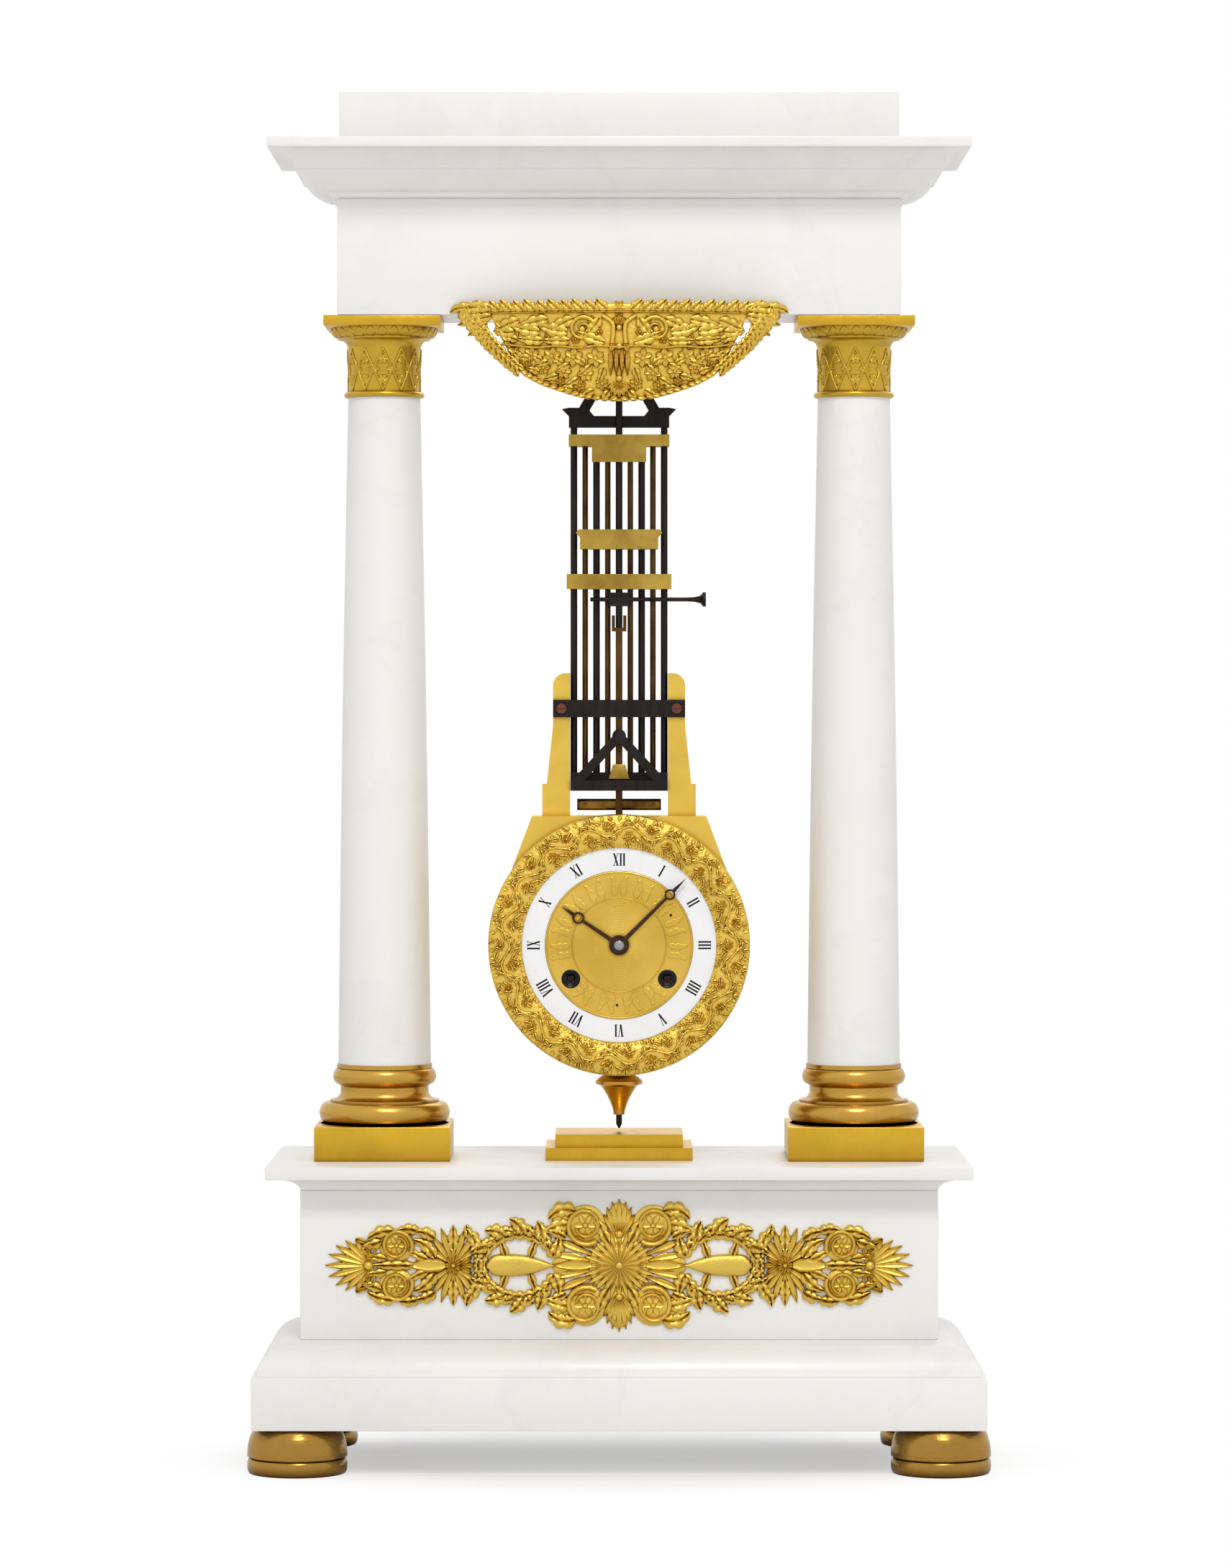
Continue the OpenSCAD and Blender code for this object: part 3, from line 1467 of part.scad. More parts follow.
// Hammer: a tail by the pins, an arbor through the back plate and the head by the bell
module hammer() {
  tail_l = norm(pin_at - hammer_at) - pin_ring_r - pin_r - 0.5;
  out = towards(bell_at, hammer_at);
  head_r = 2;
  head = bell_at + polar(bell_r + head_r + 0.5, out - 14) - hammer_at;
  arm_y0 = plate_back + plate_t + 1;
  color(STEEL) at_dial(hammer_at) {
    bar_y(arbor_r, plate_front + end_shake, bell_y0 + 1);
    bar_y(pivot_r, plate_front - plate_t, plate_front + 1);
    depth(pin_level[1] + 0.3, pin_end) {
      circle(r = arbor_r + 0.9);
      strip([0, 0], polar(tail_l, towards(hammer_at, pin_at)), 1.4);
    }
    depth(arm_y0, arm_y0 + 1.4) {
      circle(r = arbor_r + 1);
      strip([0, 0], head, 1.6);
    }
    translate([head[0], 0, head[1]]) bar_y(head_r, arm_y0, bell_y0 + 3);
  }
}

lower_plinth();
dado_block();
upper_slab();
feet();
base_mount();
column_blocks();
column_base_left();
column_base_right();
column_shaft_left();
column_shaft_right();
capital_left();
capital_right();
tie_rods();
frieze_block();
cornice();
attic_block();
lambrequin();
index_block();
suspension_bracket();
reaction_rod();
beat_screw();
hanger();
steel_rods();
brass_rods();
top_bridge();
upper_cross_bar();
lower_cross_bar();
bottom_bar();
bob_strap();
strap_screws();
bob_case();
bob_brackets();
bezel_ring();
chapter_ring();
dial_centre();
rear_cover();
bob_finial();
pointer_tip();
front_plate();
back_plate();
pillars();
bell();
going_barrel();
going_arbor();
intermediate_wheel();
centre_wheel();
minute_hand();
third_wheel();
escape_wheel();
anchor();
crutch();
minute_wheel();
hour_hand();
strike_barrel();
strike_arbor();
strike_second_wheel();
pin_wheel();
warning_wheel();
fly();
hammer();
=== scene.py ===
"""Looks of a marble and gilt portico clock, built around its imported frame."""

from math import atan2, cos, degrees, exp, hypot, pi, radians, sin, sqrt

import bmesh
import bpy
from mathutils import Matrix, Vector


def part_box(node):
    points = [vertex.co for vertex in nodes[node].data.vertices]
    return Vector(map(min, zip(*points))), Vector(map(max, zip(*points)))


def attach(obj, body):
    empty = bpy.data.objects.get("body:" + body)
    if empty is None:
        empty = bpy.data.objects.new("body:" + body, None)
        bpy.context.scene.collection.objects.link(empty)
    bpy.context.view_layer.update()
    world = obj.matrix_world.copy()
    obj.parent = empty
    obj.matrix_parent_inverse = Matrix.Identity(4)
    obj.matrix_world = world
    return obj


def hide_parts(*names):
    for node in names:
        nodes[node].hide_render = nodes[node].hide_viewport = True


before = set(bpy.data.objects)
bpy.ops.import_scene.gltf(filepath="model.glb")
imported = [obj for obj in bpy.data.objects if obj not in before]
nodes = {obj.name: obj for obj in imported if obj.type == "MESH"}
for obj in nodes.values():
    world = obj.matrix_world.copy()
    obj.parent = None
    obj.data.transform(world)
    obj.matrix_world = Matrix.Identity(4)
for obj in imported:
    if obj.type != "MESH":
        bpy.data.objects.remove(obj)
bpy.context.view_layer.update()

MM = 0.001  # sizes below are in millimetres, the scene is in metres


def box_mm(node):
    """Lowest and highest corner of a CAD node, in millimetres."""
    low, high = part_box(node)
    return low / MM, high / MM


def add_object(name, data):
    """Puts a mesh, a lamp or the camera into the scene."""
    made = bpy.data.objects.new(name, data)
    bpy.context.scene.collection.objects.link(made)
    return made


DIAL_Z = (box_mm("chapter_ring")[0].z + box_mm("chapter_ring")[1].z) / 2


# Materials


class Graph:
    """Node tree of a material or the world, with one call for each kind of node that is used."""

    def __init__(self, owner, coordinates="Object"):
        owner.use_nodes = True
        self.owner = owner
        self.tree = owner.node_tree
        self.place = self.node("ShaderNodeTexCoord").outputs[coordinates]

    def node(self, kind, inputs=(), **settings):
        made = self.tree.nodes.new(kind)
        for key, value in settings.items():
            setattr(made, key, value)
        for key, value in dict(inputs).items():
            self.feed(made.inputs[key], value)
        return made

    def feed(self, socket, value):
        if isinstance(value, bpy.types.NodeSocket):
            self.tree.links.new(value, socket)
        else:
            socket.default_value = value

    def stretched(self, scale):
        """Object coordinates with a scale of their own on each axis."""
        return self.node("ShaderNodeMapping", {"Vector": self.place, "Scale": scale}).outputs[0]

    def noise(self, scale, detail=4.0, rough=0.55, place=None):
        inputs = {"Vector": place or self.place, "Scale": scale, "Detail": detail, "Roughness": rough}
        return self.node("ShaderNodeTexNoise", inputs).outputs["Fac"]

    def math(self, operation, a, b=0.0):
        return self.node("ShaderNodeMath", {0: a, 1: b}, operation=operation).outputs[0]

    def remap(self, value, low, high, to_low=0.0, to_high=1.0, **settings):
        inputs = {"Value": value, "From Min": low, "From Max": high, "To Min": to_low, "To Max": to_high}
        return self.node("ShaderNodeMapRange", inputs, **settings).outputs[0]

    def ramp(self, value, stops):
        made = self.node("ShaderNodeValToRGB", {"Fac": value})
        elements = made.color_ramp.elements
        while len(elements) < len(stops):
            elements.new(0.5)
        for element, (position, colour) in zip(elements, stops):
            element.position = position
            element.color = (*colour, 1.0)
        return made.outputs["Color"]

    def mix(self, share, a, b):
        made = self.node("ShaderNodeMix", data_type="RGBA")
        self.feed(made.inputs["Factor"], share)
        for socket, value in ((made.inputs[6], a), (made.inputs[7], b)):
            self.feed(socket, value if hasattr(value, "links") else (*value, 1.0))
        return made.outputs[2]

    def bump(self, height, strength, distance, under=None):
        inputs = {"Height": height, "Strength": strength, "Distance": distance}
        if under is not None:
            inputs["Normal"] = under
        return self.node("ShaderNodeBump", inputs).outputs["Normal"]

    def hollows(self, reach):
        """1 on open faces, towards 0 in the hollows of an ornament."""
        return self.node("ShaderNodeAmbientOcclusion", {"Distance": reach}, samples=8).outputs["AO"]

    def finish(self, colour, rough, normal=None, metallic=0.0, **sockets):
        inputs = self.tree.nodes["Principled BSDF"].inputs
        self.feed(inputs["Base Color"], colour)
        self.feed(inputs["Roughness"], rough)
        inputs["Metallic"].default_value = metallic
        if normal is not None:
            self.feed(inputs["Normal"], normal)
        for key, value in sockets.items():
            inputs[key.replace("_", " ")].default_value = value
        return self.owner


def marble(name):
    """White marble: a little cloudy, with a few soft grey veins and a polished face."""
    g = Graph(bpy.data.materials.new(name))
    vein, vein_w = 0.16, 0.035  # strength and width of the veins
    inputs = {"Vector": g.place, "Scale": 9.0, "Detail": 5.0}
    warp = g.node("ShaderNodeTexNoise", inputs).outputs["Color"]
    streak = g.noise(7.0, 6.0, 0.6, g.mix(0.22, g.place, warp))
    line = g.math("ABSOLUTE", g.math("SUBTRACT", streak, 0.5))
    veins = g.math("MULTIPLY", g.remap(line, 0.0, vein_w, vein, 0.0), g.noise(5.0, 2.0))
    cloud = g.ramp(g.noise(11.0, 4.0), [(0.3, (0.800, 0.790, 0.774)), (0.7, (0.845, 0.837, 0.821))])
    colour = g.mix(veins, cloud, (0.55, 0.55, 0.56))
    rough = g.remap(g.noise(60.0, 3.0), 0.3, 0.7, 0.30, 0.40)
    normal = g.bump(g.noise(220.0, 2.0), 0.04, 0.0004)
    return g.finish(colour, rough, normal, Subsurface_Weight=0.12, Subsurface_Scale=0.004)


def gilt(name, bright, hollow_shade_and_patina, rough, grain, reach, stipple=0.2, chased=0.0):
    """Fire-gilt bronze: bright on open faces, and darkened towards ochre in the hollows by painted shade
    with some patina, with a fine matte grain and, where it is chased, small irregular strokes of the punch."""
    g = Graph(bpy.data.materials.new(name))
    # Painted shade with some patina: ambient occlusion darkens the colour in the hollows towards its second
    # colour.
    open_face = g.remap(g.hollows(reach), 0.20, 0.88)
    patch = g.remap(g.noise(60.0, 4.0), 0.35, 0.7)
    wear = g.mix(patch, bright, tuple(0.86 * c for c in bright))
    colour = g.mix(open_face, hollow_shade_and_patina, wear)
    roughness = g.remap(g.noise(grain / 3, 3.0), 0.3, 0.7, rough - 0.06, rough + 0.08)
    normal = g.bump(g.noise(grain, 2.0), stipple, 0.0003)
    if chased:
        normal = g.bump(g.noise(620.0, 3.0, 0.6), chased, 0.0009, normal)
    return g.finish(colour, roughness, normal, metallic=1.0)


def dark_steel(name, colour, rough=0.42):
    """Browned steel with faint filing marks along its length."""
    g = Graph(bpy.data.materials.new(name))
    marks = g.noise(30.0, 3.0, 0.6, g.stretched((9.0, 9.0, 1.0)))
    tone = g.mix(g.remap(marks, 0.3, 0.75), colour, tuple(2.2 * c for c in colour))
    roughness = g.remap(marks, 0.3, 0.7, rough - 0.08, rough + 0.12)
    return g.finish(tone, roughness, g.bump(marks, 0.12, 0.0003), metallic=0.85)


def worn_brass(name, bright, dull, rough=0.34):
    """Brass with a lacquer that has dulled in patches."""
    g = Graph(bpy.data.materials.new(name))
    patch = g.remap(g.noise(45.0, 5.0), 0.35, 0.68)
    marks = g.noise(40.0, 3.0, 0.6, g.stretched((1.0, 8.0, 8.0)))
    roughness = g.remap(marks, 0.3, 0.7, rough - 0.08, rough + 0.1)
    return g.finish(g.mix(patch, dull, bright), roughness, g.bump(marks, 0.1, 0.0003), metallic=1.0)


def enamel(name):
    """White fired enamel: glossy, with a faint unevenness under the gloss."""
    g = Graph(bpy.data.materials.new(name))
    colour = g.ramp(g.noise(80.0, 3.0), [(0.3, (0.82, 0.83, 0.85)), (0.7, (0.87, 0.875, 0.885))])
    normal = g.bump(g.noise(90.0, 2.0), 0.06, 0.0004)
    return g.finish(colour, 0.14, normal, Coat_Weight=0.3, Coat_Roughness=0.06)


def dial_gilt(name):
    """Gilt dial centre, finished in the lathe: fine rings about the hands' axis."""
    g = Graph(bpy.data.materials.new(name))
    split = g.node("ShaderNodeSeparateXYZ", {"Vector": g.place})
    x, z = split.outputs["X"], g.math("SUBTRACT", split.outputs["Z"], DIAL_Z * MM)
    radius = g.math("SQRT", g.math("ADD", g.math("MULTIPLY", x, x), g.math("MULTIPLY", z, z)))
    rings = g.remap(g.math("SINE", g.math("MULTIPLY", radius, 9000.0)), -1.0, 1.0)
    patch = g.remap(g.noise(55.0, 4.0), 0.35, 0.7)
    worn = g.mix(patch, (0.62, 0.40, 0.060), (0.76, 0.51, 0.095))
    # Painted shade: the colour darkens in the hollows of the dial's relief.
    colour = g.mix(g.remap(g.hollows(0.002), 0.3, 0.9), (0.28, 0.14, 0.012), worn)
    normal = g.bump(g.noise(900.0, 2.0), 0.15, 0.0002, g.bump(rings, 0.25, 0.0002))
    return g.finish(colour, g.remap(g.noise(200.0, 3.0), 0.3, 0.7, 0.30, 0.42), normal, metallic=1.0)


MARBLE = marble("white_marble")
# The second colour of each gilt is painted shade in its hollows, with some patina.
GILT_RELIEF = gilt("gilt_relief", (0.77, 0.52, 0.090), (0.26, 0.13, 0.012), 0.34, 1400.0, 0.0013, chased=0.4)
GILT_MOUNT = gilt("gilt_mount", (0.77, 0.535, 0.104), (0.26, 0.135, 0.014), 0.36, 1400.0, 0.0013, chased=0.3)
GILT_CHASED = gilt("gilt_chased", (0.84, 0.58, 0.110), (0.40, 0.22, 0.022), 0.32, 1400.0, 0.0018, chased=0.6)
GILT_PLAIN = gilt("gilt_plain", (0.67, 0.41, 0.038), (0.32, 0.16, 0.012), 0.32, 900.0, 0.003, 0.1)
GILT_TURNED = gilt("gilt_turned", (0.58, 0.34, 0.065), (0.16, 0.075, 0.012), 0.26, 700.0, 0.004, 0.08)
GILT_CAPITAL = gilt("gilt_capital", (0.60, 0.385, 0.045), (0.17, 0.085, 0.010), 0.32, 900.0, 0.0016, 0.06)
FOOT_BRONZE = gilt("foot_bronze", (0.40, 0.22, 0.046), (0.05, 0.02, 0.004), 0.24, 700.0, 0.007, 0.08)
GILT_CASE = gilt("gilt_case", (0.80, 0.54, 0.090), (0.36, 0.20, 0.020), 0.36, 800.0, 0.003, 0.12)
DIAL_GILT = dial_gilt("gilt_dial")
STEEL = dark_steel("browned_steel", (0.014, 0.011, 0.010))
HAND_STEEL = dark_steel("hand_steel", (0.036, 0.018, 0.009), 0.34)
SCREW_STEEL = dark_steel("screw_steel", (0.10, 0.035, 0.025), 0.40)
CAP_STEEL = dark_steel("cap_steel", (0.20, 0.21, 0.24), 0.28)
BRASS = worn_brass("bar_brass", (0.52, 0.35, 0.066), (0.27, 0.16, 0.027))
BAR_BRASS = worn_brass("dark_brass", (0.36, 0.21, 0.04), (0.07, 0.035, 0.012), 0.3)
ROD_BRASS = worn_brass("rod_brass", (0.13, 0.066, 0.018), (0.05, 0.026, 0.010), 0.4)
WORK_BRASS = worn_brass("movement_brass", (0.70, 0.50, 0.16), (0.48, 0.32, 0.09))
ENAMEL = enamel("white_enamel")
INK = dark_steel("black_enamel", (0.010, 0.010, 0.012), 0.3)


# Shapes

TURNED = 96     # sides of a turned body


class Shape:
    """Vertices in millimetres and faces, collected for one piece."""

    def __init__(self):
        self.verts = []
        self.faces = []

    def add(self, verts, faces):
        start = len(self.verts)
        self.verts.extend(verts)
        self.faces.extend([tuple(start + i for i in face) for face in faces])
        return self

    def join(self, other):
        return self.add(other.verts, other.faces)

    def rings(self, rings, close_ends=True):
        """Skin over a row of closed rings with the same number of points."""
        count = len(rings[0])
        faces = []
        for k in range(len(rings) - 1):
            for i in range(count):
                j = (i + 1) % count
                faces.append((k * count + i, k * count + j, (k + 1) * count + j, (k + 1) * count + i))
        if close_ends:
            last = (len(rings) - 1) * count
            faces.append(tuple(reversed(range(count))))
            faces.append(tuple(range(last, last + count)))
        return self.add([p for ring in rings for p in ring], faces)

    def piece(self, name, material, body, replaced=(), slot=None, bevel=0.0, sharp=35.0):
        """Makes the Blender piece, eases its sharp edges and lets it ride on a body."""
        mesh = bpy.data.meshes.new(name)
        mesh.from_pydata([Vector(v) * MM for v in self.verts], [], self.faces)
        bm = bmesh.new()
        bm.from_mesh(mesh)
        bmesh.ops.remove_doubles(bm, verts=bm.verts, dist=1e-7)
        bmesh.ops.recalc_face_normals(bm, faces=bm.faces)
        limit = radians(sharp)
        if bevel:
            edges = [e for e in bm.edges if e.is_manifold and e.calc_face_angle(0.0) > limit]
            bmesh.ops.bevel(
                bm, geom=edges, offset=bevel * MM, segments=2, profile=0.5,
                affect="EDGES", clamp_overlap=True,
            )
        bm.to_mesh(mesh)
        bm.free()
        for polygon in mesh.polygons:
            polygon.use_smooth = True
        mesh.set_sharp_from_angle(angle=limit)
        mesh.materials.append(material)
        made = add_object(name, mesh)
        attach(made, body)
        if replaced:
            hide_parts(*replaced)


def circle(count):
    """Angles once round."""
    return [2 * pi * i / count for i in range(count)]


def heading(angle):
    """Cosine and sine of an angle in degrees."""
    a = radians(angle)
    return cos(a), sin(a)


def lathe(profile, centre):
    """Round body about an upright axis, from a profile of (radius, height)."""
    x, y, z = centre
    return Shape().rings([
        [(x + r * cos(a), y + r * sin(a), z + h) for a in circle(TURNED)] for r, h in profile])


def hoop(profile, x, z, segments=TURNED):
    """Closed ring about a depth axis, from a closed profile of (radius, y)."""
    rings = [[(x + r * cos(a), y, z + r * sin(a)) for a in circle(segments)]
             for r, y in profile + profile[:1]]
    return Shape().rings(rings, close_ends=False)


def moulded(w, d, profile):
    """Block whose four sides have one profile of (out, z), mitred at the corners."""
    rings = []
    for out, z in profile:
        x, y = w / 2 + out, d / 2 + out
        rings.append([(-x, -y, z), (x, -y, z), (x, y, z), (-x, y, z)])
    return Shape().rings(rings)


def block(low, high):
    """Rectangular block between two corners."""
    (x0, y0, z0), (x1, y1, z1) = low, high
    return Shape().rings([[(x0, y0, z), (x1, y0, z), (x1, y1, z), (x0, y1, z)] for z in (z0, z1)])


def arc(x0, z0, x1, z1, level_first, flat=0.0):
    """Quarter curve between two points: level at its start, or upright at its start."""
    steps, points = 10, []
    for i in range(steps + 1):
        t = i / steps
        s, c = sin(t * pi / 2), 1 - cos(t * pi / 2)
        p, q = (s, c) if level_first else (c, s)
        points.append((x0 + (x1 - x0) * (flat * t + (1 - flat) * p),
                       z0 + (z1 - z0) * (flat * t + (1 - flat) * q)))
    return points


def half_round(x, z0, z1, swell):
    """Half round between two heights that swells outward."""
    steps, points = 12, []
    for i in range(steps + 1):
        a = -pi / 2 + pi * i / steps
        points.append((x + swell * cos(a), (z0 + z1) / 2 + (z1 - z0) / 2 * sin(a)))
    return points


# Marble

EASED = 0.5             # width of the rounded arrises of the marble
PLINTH_FACE_H = 23.0    # plain face of the lower plinth, under its moulding
SLAB_EDGE_H = 5.5       # square edge of the upper slab, over its hollow
STEP = 2.0              # flat between a face and its moulding
SHAFT_TOP_R = 15.8
SHAFT_SWELL = 0.45


def make_marble():
    """The marble blocks, with eased edges, and the two shafts."""

    def dress(node, shape):
        name = node.replace("_block", "") + "_marble"
        shape.piece(name, MARBLE, "case", [node], "marble", EASED)

    def plain(node):
        low, high = box_mm(node)
        dress(node, block(low, high))
        return high.x - low.x, high.y - low.y

    w, d = plain("dado_block")
    low, high = box_mm("lower_plinth")
    out, face_top = (high.x - low.x - w) / 2, low.z + PLINTH_FACE_H
    profile = [(out, low.z), (out, face_top)] + arc(out - STEP, face_top, 0, high.z, False)
    dress("lower_plinth", moulded(w, d, profile))

    low, high = box_mm("upper_slab")
    out, edge = (high.x - low.x - w) / 2, high.z - SLAB_EDGE_H
    profile = arc(0, low.z, out - STEP, edge, False) + [(out, edge), (out, high.z)]
    dress("upper_slab", moulded(w, d, profile))

    w, d = plain("frieze_block")
    low, high = box_mm("cornice")
    out, h = (high.x - low.x - w) / 2, high.z - low.z
    bead, step, edge = low.z + 0.10 * h, low.z + 0.47 * h, low.z + 0.82 * h
    profile = arc(0, low.z, 0.13 * out, bead, True, 0.15)
    profile += arc(0.17 * out, bead, 0.58 * out, step, True, 0.5)
    profile += arc(0.62 * out, step, 0.87 * out, edge, False)
    profile += [(out, edge), (out, high.z)]
    dress("cornice", moulded(w, d, profile))
    plain("attic_block")

    for side in ("left", "right"):
        node = f"column_shaft_{side}"
        low, high = box_mm(node)
        foot_r, steps = (high.x - low.x) / 2, 32
        profile = [(0, low.z)]
        for i in range(steps + 1):
            t = i / steps
            r = foot_r + (SHAFT_TOP_R - foot_r) * t + SHAFT_SWELL * sin(pi * t)
            profile.append((r, low.z + (high.z - low.z) * t))
        profile.append((0, high.z))
        shape = lathe(profile, ((low.x + high.x) / 2, 0, 0))
        shape.piece(f"shaft_{side}_marble", MARBLE, "case", [node], "marble")


# Cast ornament

ROUND = 6       # sides of a rib's rounded top
LEAF_SIDES = 10
SINK = 0.5      # how deep an ornament's foot stands in its ground
EASE = 0.3      # width of the eased edge of a plate


class Relief:
    """Ribs, leaves, scrolls and beads on a ground: u along it, v up it, h out of it."""

    def __init__(self, place, shape=None):
        self.place = place
        self.shape = shape or Shape()

    def mirror(self, su, sv=1):
        """The same ground mirrored left to right, up to down, or both."""
        return Relief(lambda u, v, h: self.place(su * u, sv * v, h), self.shape)

    def skin(self, path, widths, height, sides):
        """Closed skin along a path: height gives its rise for a step and a share across."""
        last = len(path) - 1
        rings = []
        for i, (u, v) in enumerate(path):
            (u0, v0), (u1, v1) = path[max(i - 1, 0)], path[min(i + 1, last)]
            length = hypot(u1 - u0, v1 - v0) or 1.0
            nu, nv = (v0 - v1) / length * widths[i] / 2, (u1 - u0) / length * widths[i] / 2
            ring = []
            for k in range(sides + 1):
                q = -cos(pi * k / sides)
                ring.append(self.place(u + nu * q, v + nv * q, height(i, q)))
            ring += [self.place(u + nu * q, v + nv * q, -SINK) for q in (1, -1)]
            rings.append(ring)
        self.shape.rings(rings)

    def rib(self, path, widths, heights, groove=0.0):
        """Rib with a rounded top and an optional groove along its middle."""

        def height(i, q):
            return heights[i] * sqrt(max(0.0, 1 - q * q)) * (1 - groove * exp(-(q / 0.35) ** 2))

        self.skin(path, widths, height, ROUND)

    def bent(self, u, v, angle, length, bend, steps):
        """Path from a point in one direction that turns by an angle along its length."""
        path = [(u, v)]
        for i in range(steps):
            c, s = heading(angle + bend * (i + 0.5) / steps)
            u, v = u + length / steps * c, v + length / steps * s
            path.append((u, v))
        return path

    def petal(self, u, v, angle, length, width, height, swell=1.2, groove=0.45, bend=0.0, steps=7):
        """Petal from a point in one direction: widest past its middle with a larger swell."""
        share = [i / steps for i in range(steps + 1)]
        widths = [width * max(0.08, sin(pi * (0.14 + 0.83 * t ** swell))) for t in share]
        heights = [height * (0.6 + 0.4 * sin(pi * (0.15 + 0.7 * t))) for t in share]
        self.rib(self.bent(u, v, angle, length, bend, steps), widths, heights, groove)

    def leaf(self, u, v, angle, length, width, height, bend=0.0, lobes=3):
        """Acanthus leaf: lobed edges, a sunk midrib and a fold to each lobe."""
        steps = 5 * lobes
        share = [i / steps for i in range(steps + 1)]
        widths = []
        for t in share:
            tooth = abs(sin(pi * lobes * t)) ** 0.6
            body = max(0.05, sin(pi * (0.16 + 0.80 * t ** 0.85)))
            widths.append(width * body * (0.60 + 0.40 * tooth))

        def rise(i, q):
            fold = 0.62 + 0.38 * abs(sin(pi * (lobes * share[i] - 0.45 * abs(q)))) ** 0.7
            vein = 1 - 0.5 * exp(-(q / 0.18) ** 2)
            return height * max(0.0, 1 - q ** 4) ** 0.5 * fold * vein * (1 - 0.3 * share[i])

        self.skin(self.bent(u, v, angle, length, bend, steps), widths, rise, LEAF_SIDES)

    def leaves(self, *rows):
        """One leaf for each row of a leaf's values."""
        for row in rows:
            self.leaf(*row)

    def fan(self, u, v, angle, spread, count, length, side_length, width, height):
        """Palmette: petals about one direction, the longest in the middle."""
        for i in range(count):
            t = 2 * i / (count - 1) - 1
            reach = length + (side_length - length) * abs(t) ** 1.5
            self.petal(u, v, angle + spread * t, reach, width, height, 1.6, bend=-8 * t)

    def scroll(self, u, v, r, start, hand, turns, width, height, eye=0.3):
        """Spiral stem that winds in to its eye."""
        steps = int(16 * turns) + 4
        path, widths, heights = [], [], []
        for i in range(steps + 1):
            t = i / steps
            c, s = heading(start + hand * 360 * turns * t)
            reach = r * (1 - (1 - eye) * t)
            path.append((u + reach * c, v + reach * s))
            widths.append(width * (1 - 0.4 * t))
            heights.append(height * (1 - 0.2 * t))
        self.rib(path, widths, heights)

    def stem(self, points, width, height, taper):
        """Smooth stem through a few points, which narrows to a share of its width."""
        steps, path = 6, []
        for i in range(len(points) - 1):
            p0, p1 = points[max(i - 1, 0)], points[i]
            p2, p3 = points[i + 1], points[min(i + 2, len(points) - 1)]
            for t in (k / steps for k in range(steps)):
                path.append(tuple(
                    0.5 * (2 * p1[c] + (p2[c] - p0[c]) * t
                           + (2 * p0[c] - 5 * p1[c] + 4 * p2[c] - p3[c]) * t ** 2
                           + (3 * p1[c] - p0[c] - 3 * p2[c] + p3[c]) * t ** 3)
                    for c in (0, 1)))
        path.append(tuple(points[-1]))
        last = len(path) - 1
        widths = [width * (1 - (1 - taper) * i / last) for i in range(last + 1)]
        self.rib(path, widths, [height] * (last + 1))

    def bead(self, u, v, r, height, sides=12, levels=4):
        """Round boss."""
        rings = []
        for k in range(-1, levels):
            a = max(0, k) / levels * pi / 2
            h = -SINK if k < 0 else height * sin(a)
            reach = r * cos(a)
            rings.append([self.place(u + reach * cos(b), v + reach * sin(b), h)
                          for b in circle(sides)])
        self.shape.rings(rings)

    def rosette(self, u, v, r, petals, height, turn=0.0):
        """Flower with a boss in its middle."""
        for i in range(petals):
            self.petal(u, v, turn + 360 * i / petals, r, 4.6 * r / petals, height, 1.6, 0.5, steps=5)
        self.bead(u, v, 0.3 * r, 1.2 * height, 10, 3)

    def plate(self, outline, height):
        """Flat ground plate with an eased edge."""
        mid_u = sum(p[0] for p in outline) / len(outline)
        mid_v = sum(p[1] for p in outline) / len(outline)
        rings = []
        for h, inset in ((-SINK, 0.0), (height - EASE, 0.0), (height, EASE)):
            ring = []
            for u, v in outline:
                k = 1 - inset / hypot(u - mid_u, v - mid_v)
                ring.append(self.place(mid_u + (u - mid_u) * k, mid_v + (v - mid_v) * k, h))
            rings.append(ring)
        self.shape.rings(rings)

    def band(self, u, v, outer, inner, height):
        """Flat oval band with an eased edge, between two pairs of half axes."""
        sides, rings = 48, []
        for t in circle(sides):
            c, s = cos(t), sin(t)
            rings.append([self.place(u + a * c, v + b * s, h) for a, b, h in (
                (*outer, -SINK), (*outer, height - EASE), (outer[0] - EASE, outer[1] - EASE, height),
                (inner[0] + EASE, inner[1] + EASE, height), (*inner, height - EASE), (*inner, -SINK))])
        self.shape.rings(rings + rings[:1], close_ends=False)


def on_front(x, y, z):
    """Places ornament on an upright plane that faces the front."""
    return lambda u, v, h: (x + u, y - h, z + v)


def on_turned(profile, centre, gauge):
    """Places ornament on a turned body: u runs round it at a gauge radius, v along its profile."""
    reach = [0.0]
    for (r0, z0), (r1, z1) in zip(profile, profile[1:]):
        reach.append(reach[-1] + hypot(r1 - r0, z1 - z0))

    def place(u, v, h):
        i = 0
        while i < len(profile) - 2 and v > reach[i + 1]:
            i += 1
        (r0, z0), (r1, z1) = profile[i], profile[i + 1]
        length = reach[i + 1] - reach[i]
        t = (v - reach[i]) / length
        r = r0 + (r1 - r0) * t + (z1 - z0) / length * h
        z = z0 + (z1 - z0) * t + (r0 - r1) / length * h
        a = u / gauge
        return (centre[0] + r * sin(a), centre[1] - r * cos(a), centre[2] + z)

    return place


def oval(u, v, a, b):
    """Outline of an oval about a point, with two half axes."""
    sides = 40
    return [(u + a * cos(t), v + b * sin(t)) for t in circle(sides)]


QUARTERS = [(1, 1), (-1, 1), (1, -1), (-1, -1)]
# Middles of the base mount's forms, from its own middle
SCROLL_AT = (14.6, 17.3)
CARTOUCHE_U = 43.5
FAN_U = 71.5
END_SCROLL_AT = (95.9, 8.6)
END_FAN_U = 107


